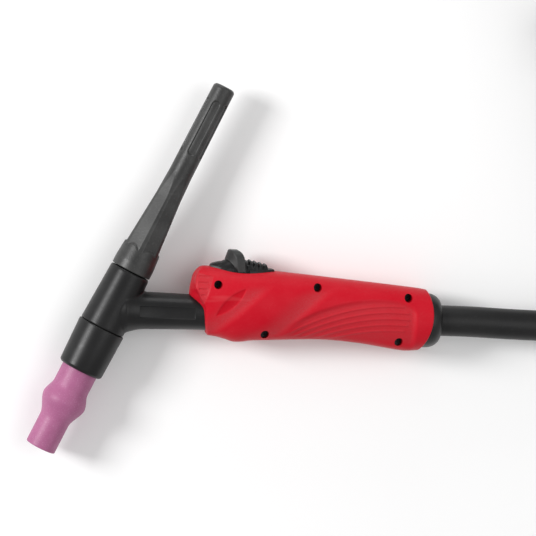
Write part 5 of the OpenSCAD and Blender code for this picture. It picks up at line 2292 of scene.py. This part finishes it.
        c, n = self.fin_crest, self.side_steps
        foot = front(self.fin_low if outer else low(self.fin_feet[0]))
        heel = rear(low(self.fin_feet[1]))
        places = [lerp(foot, heel, k / self.under_steps) for k in range(self.under_steps + 1)]
        under = [(u, low(u)) for u in places]
        rise = [lerp(under[-1][1], top - c, k / n) for k in range(1, n + 1)]
        fall = [lerp(top - c, under[0][1], k / n) for k in range(n)]
        crest = arc((rear(top - c) - c, top - c), c, 0, 90, 5)[1:]
        crest += arc((front(top - c) + c, top - c), c, 90, 180, 5)[:-1]
        return under + [(rear(v), v) for v in rise] + crest + [(front(v), v) for v in fall]

    def fin_stations(self) -> list[float]:
        """Places of the fin's sections, closer at its sides.

        Returns:
            The distances from the middle at which they are taken.
        """
        half, r = self.fin_w / 2, self.fin_round
        inner = half * self.fin_inner
        side = [half * i / 34 * self.fin_inner for i in range(35)]
        side += [lerp(inner, half - r, i / 14) for i in range(1, 15)]
        side += [half - r + r * math.sin(math.radians(15 * i)) for i in range(1, 7)]
        return [-z for z in reversed(side[1:])] + side

    def lever(self, place: Matrix) -> bpy.types.Object:
        """Makes the lever: an arched fin astride the base, on a stem that turns on the pin.

        Args:
            place: The handle's place.

        Returns:
            The lever.
        """
        rows = [[(u, v, z) for u, v in self.fin_section(z)] for z in self.fin_stations()]
        obj = lofted("trigger_lever", rows)
        for low, high in self.stem:
            combine(obj, self.at_pin(low, high), Cut.TOGETHER, Solver.EXACT)
        hub = moved(rod("hub", *self.hub, 48), Matrix.Translation((*self.pin, 0)))
        combine(obj, hub, Cut.TOGETHER, Solver.EXACT)
        self.drill(obj, self.hub_hole_r)
        shaded(moved(obj, place))
        # The lever wears the lighter copy of the trigger black, which is painted light.
        return dress(obj, LEVER_PAINTED_LIGHT, "trigger", "trigger_black", "trigger_lever")

    def build(self, bench: Bench, handle: Handle) -> list[bpy.types.Object]:
        """Builds the trigger.

        Args:
            bench: Where the handle lies.
            handle: The handle that it sits in.

        Returns:
            The pieces.
        """
        place = bench.handle()
        return [self.base(handle, place), self.lever(place)]


CARRIED = {
    "head_core": BRASS,
    "neck_tube": COPPER,
    "collet_body": COPPER,
    "collet": COPPER,
    "cap_seal": SEAL_RUBBER,
    # The screws and the pin get the near-black steel, which is painted shade of the pockets they
    # sit in.
    "handle_screws": STEEL_PAINTED_SHADE,
    "trigger_pin": STEEL_PAINTED_SHADE,
    "switch_board": BOARD_GREEN,
    "tact_switches": SWITCH_GREY,
    "control_wires": WIRE_JACKET,
    "hose_fitting": BRASS,
    "power_hose": SEAL_RUBBER,
    "cable_clamp": SWITCH_GREY,
    "coil_ties": TIE_WEBBING,
    "connector_relief": BOOT_RUBBER,
    "connector_body": TRIGGER_BLACK,
    "connector_nut": TIE_WEBBING,
    "connector_pin": BRASS,
    "control_contacts": BRASS,
}


def carry_over(frame: dict) -> None:
    """Gives each solid that is kept as it is its own finish.
    """
    for name, finish in CARRIED.items():
        node = frame["nodes"][name]
        node.data.materials.clear()
        node.data.materials.append(finish.build())
        LOG.info("%s: kept as packed, finish %s", name, finish.name)


def main() -> None:
    """Builds the scene piece by piece."""
    logging.basicConfig(level=logging.INFO, format="%(name)s: %(message)s", stream=sys.stdout)
    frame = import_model()
    bench = Bench.from_frame(frame)
    handle = Handle()
    Studio().build()
    Hose().build()
    Head().build(bench)
    Cap().build(bench)
    handle.build(bench)
    Boot().build(bench, handle)
    Trigger().build(bench, handle)
    carry_over(frame)


if __name__ == "__main__":
    main()
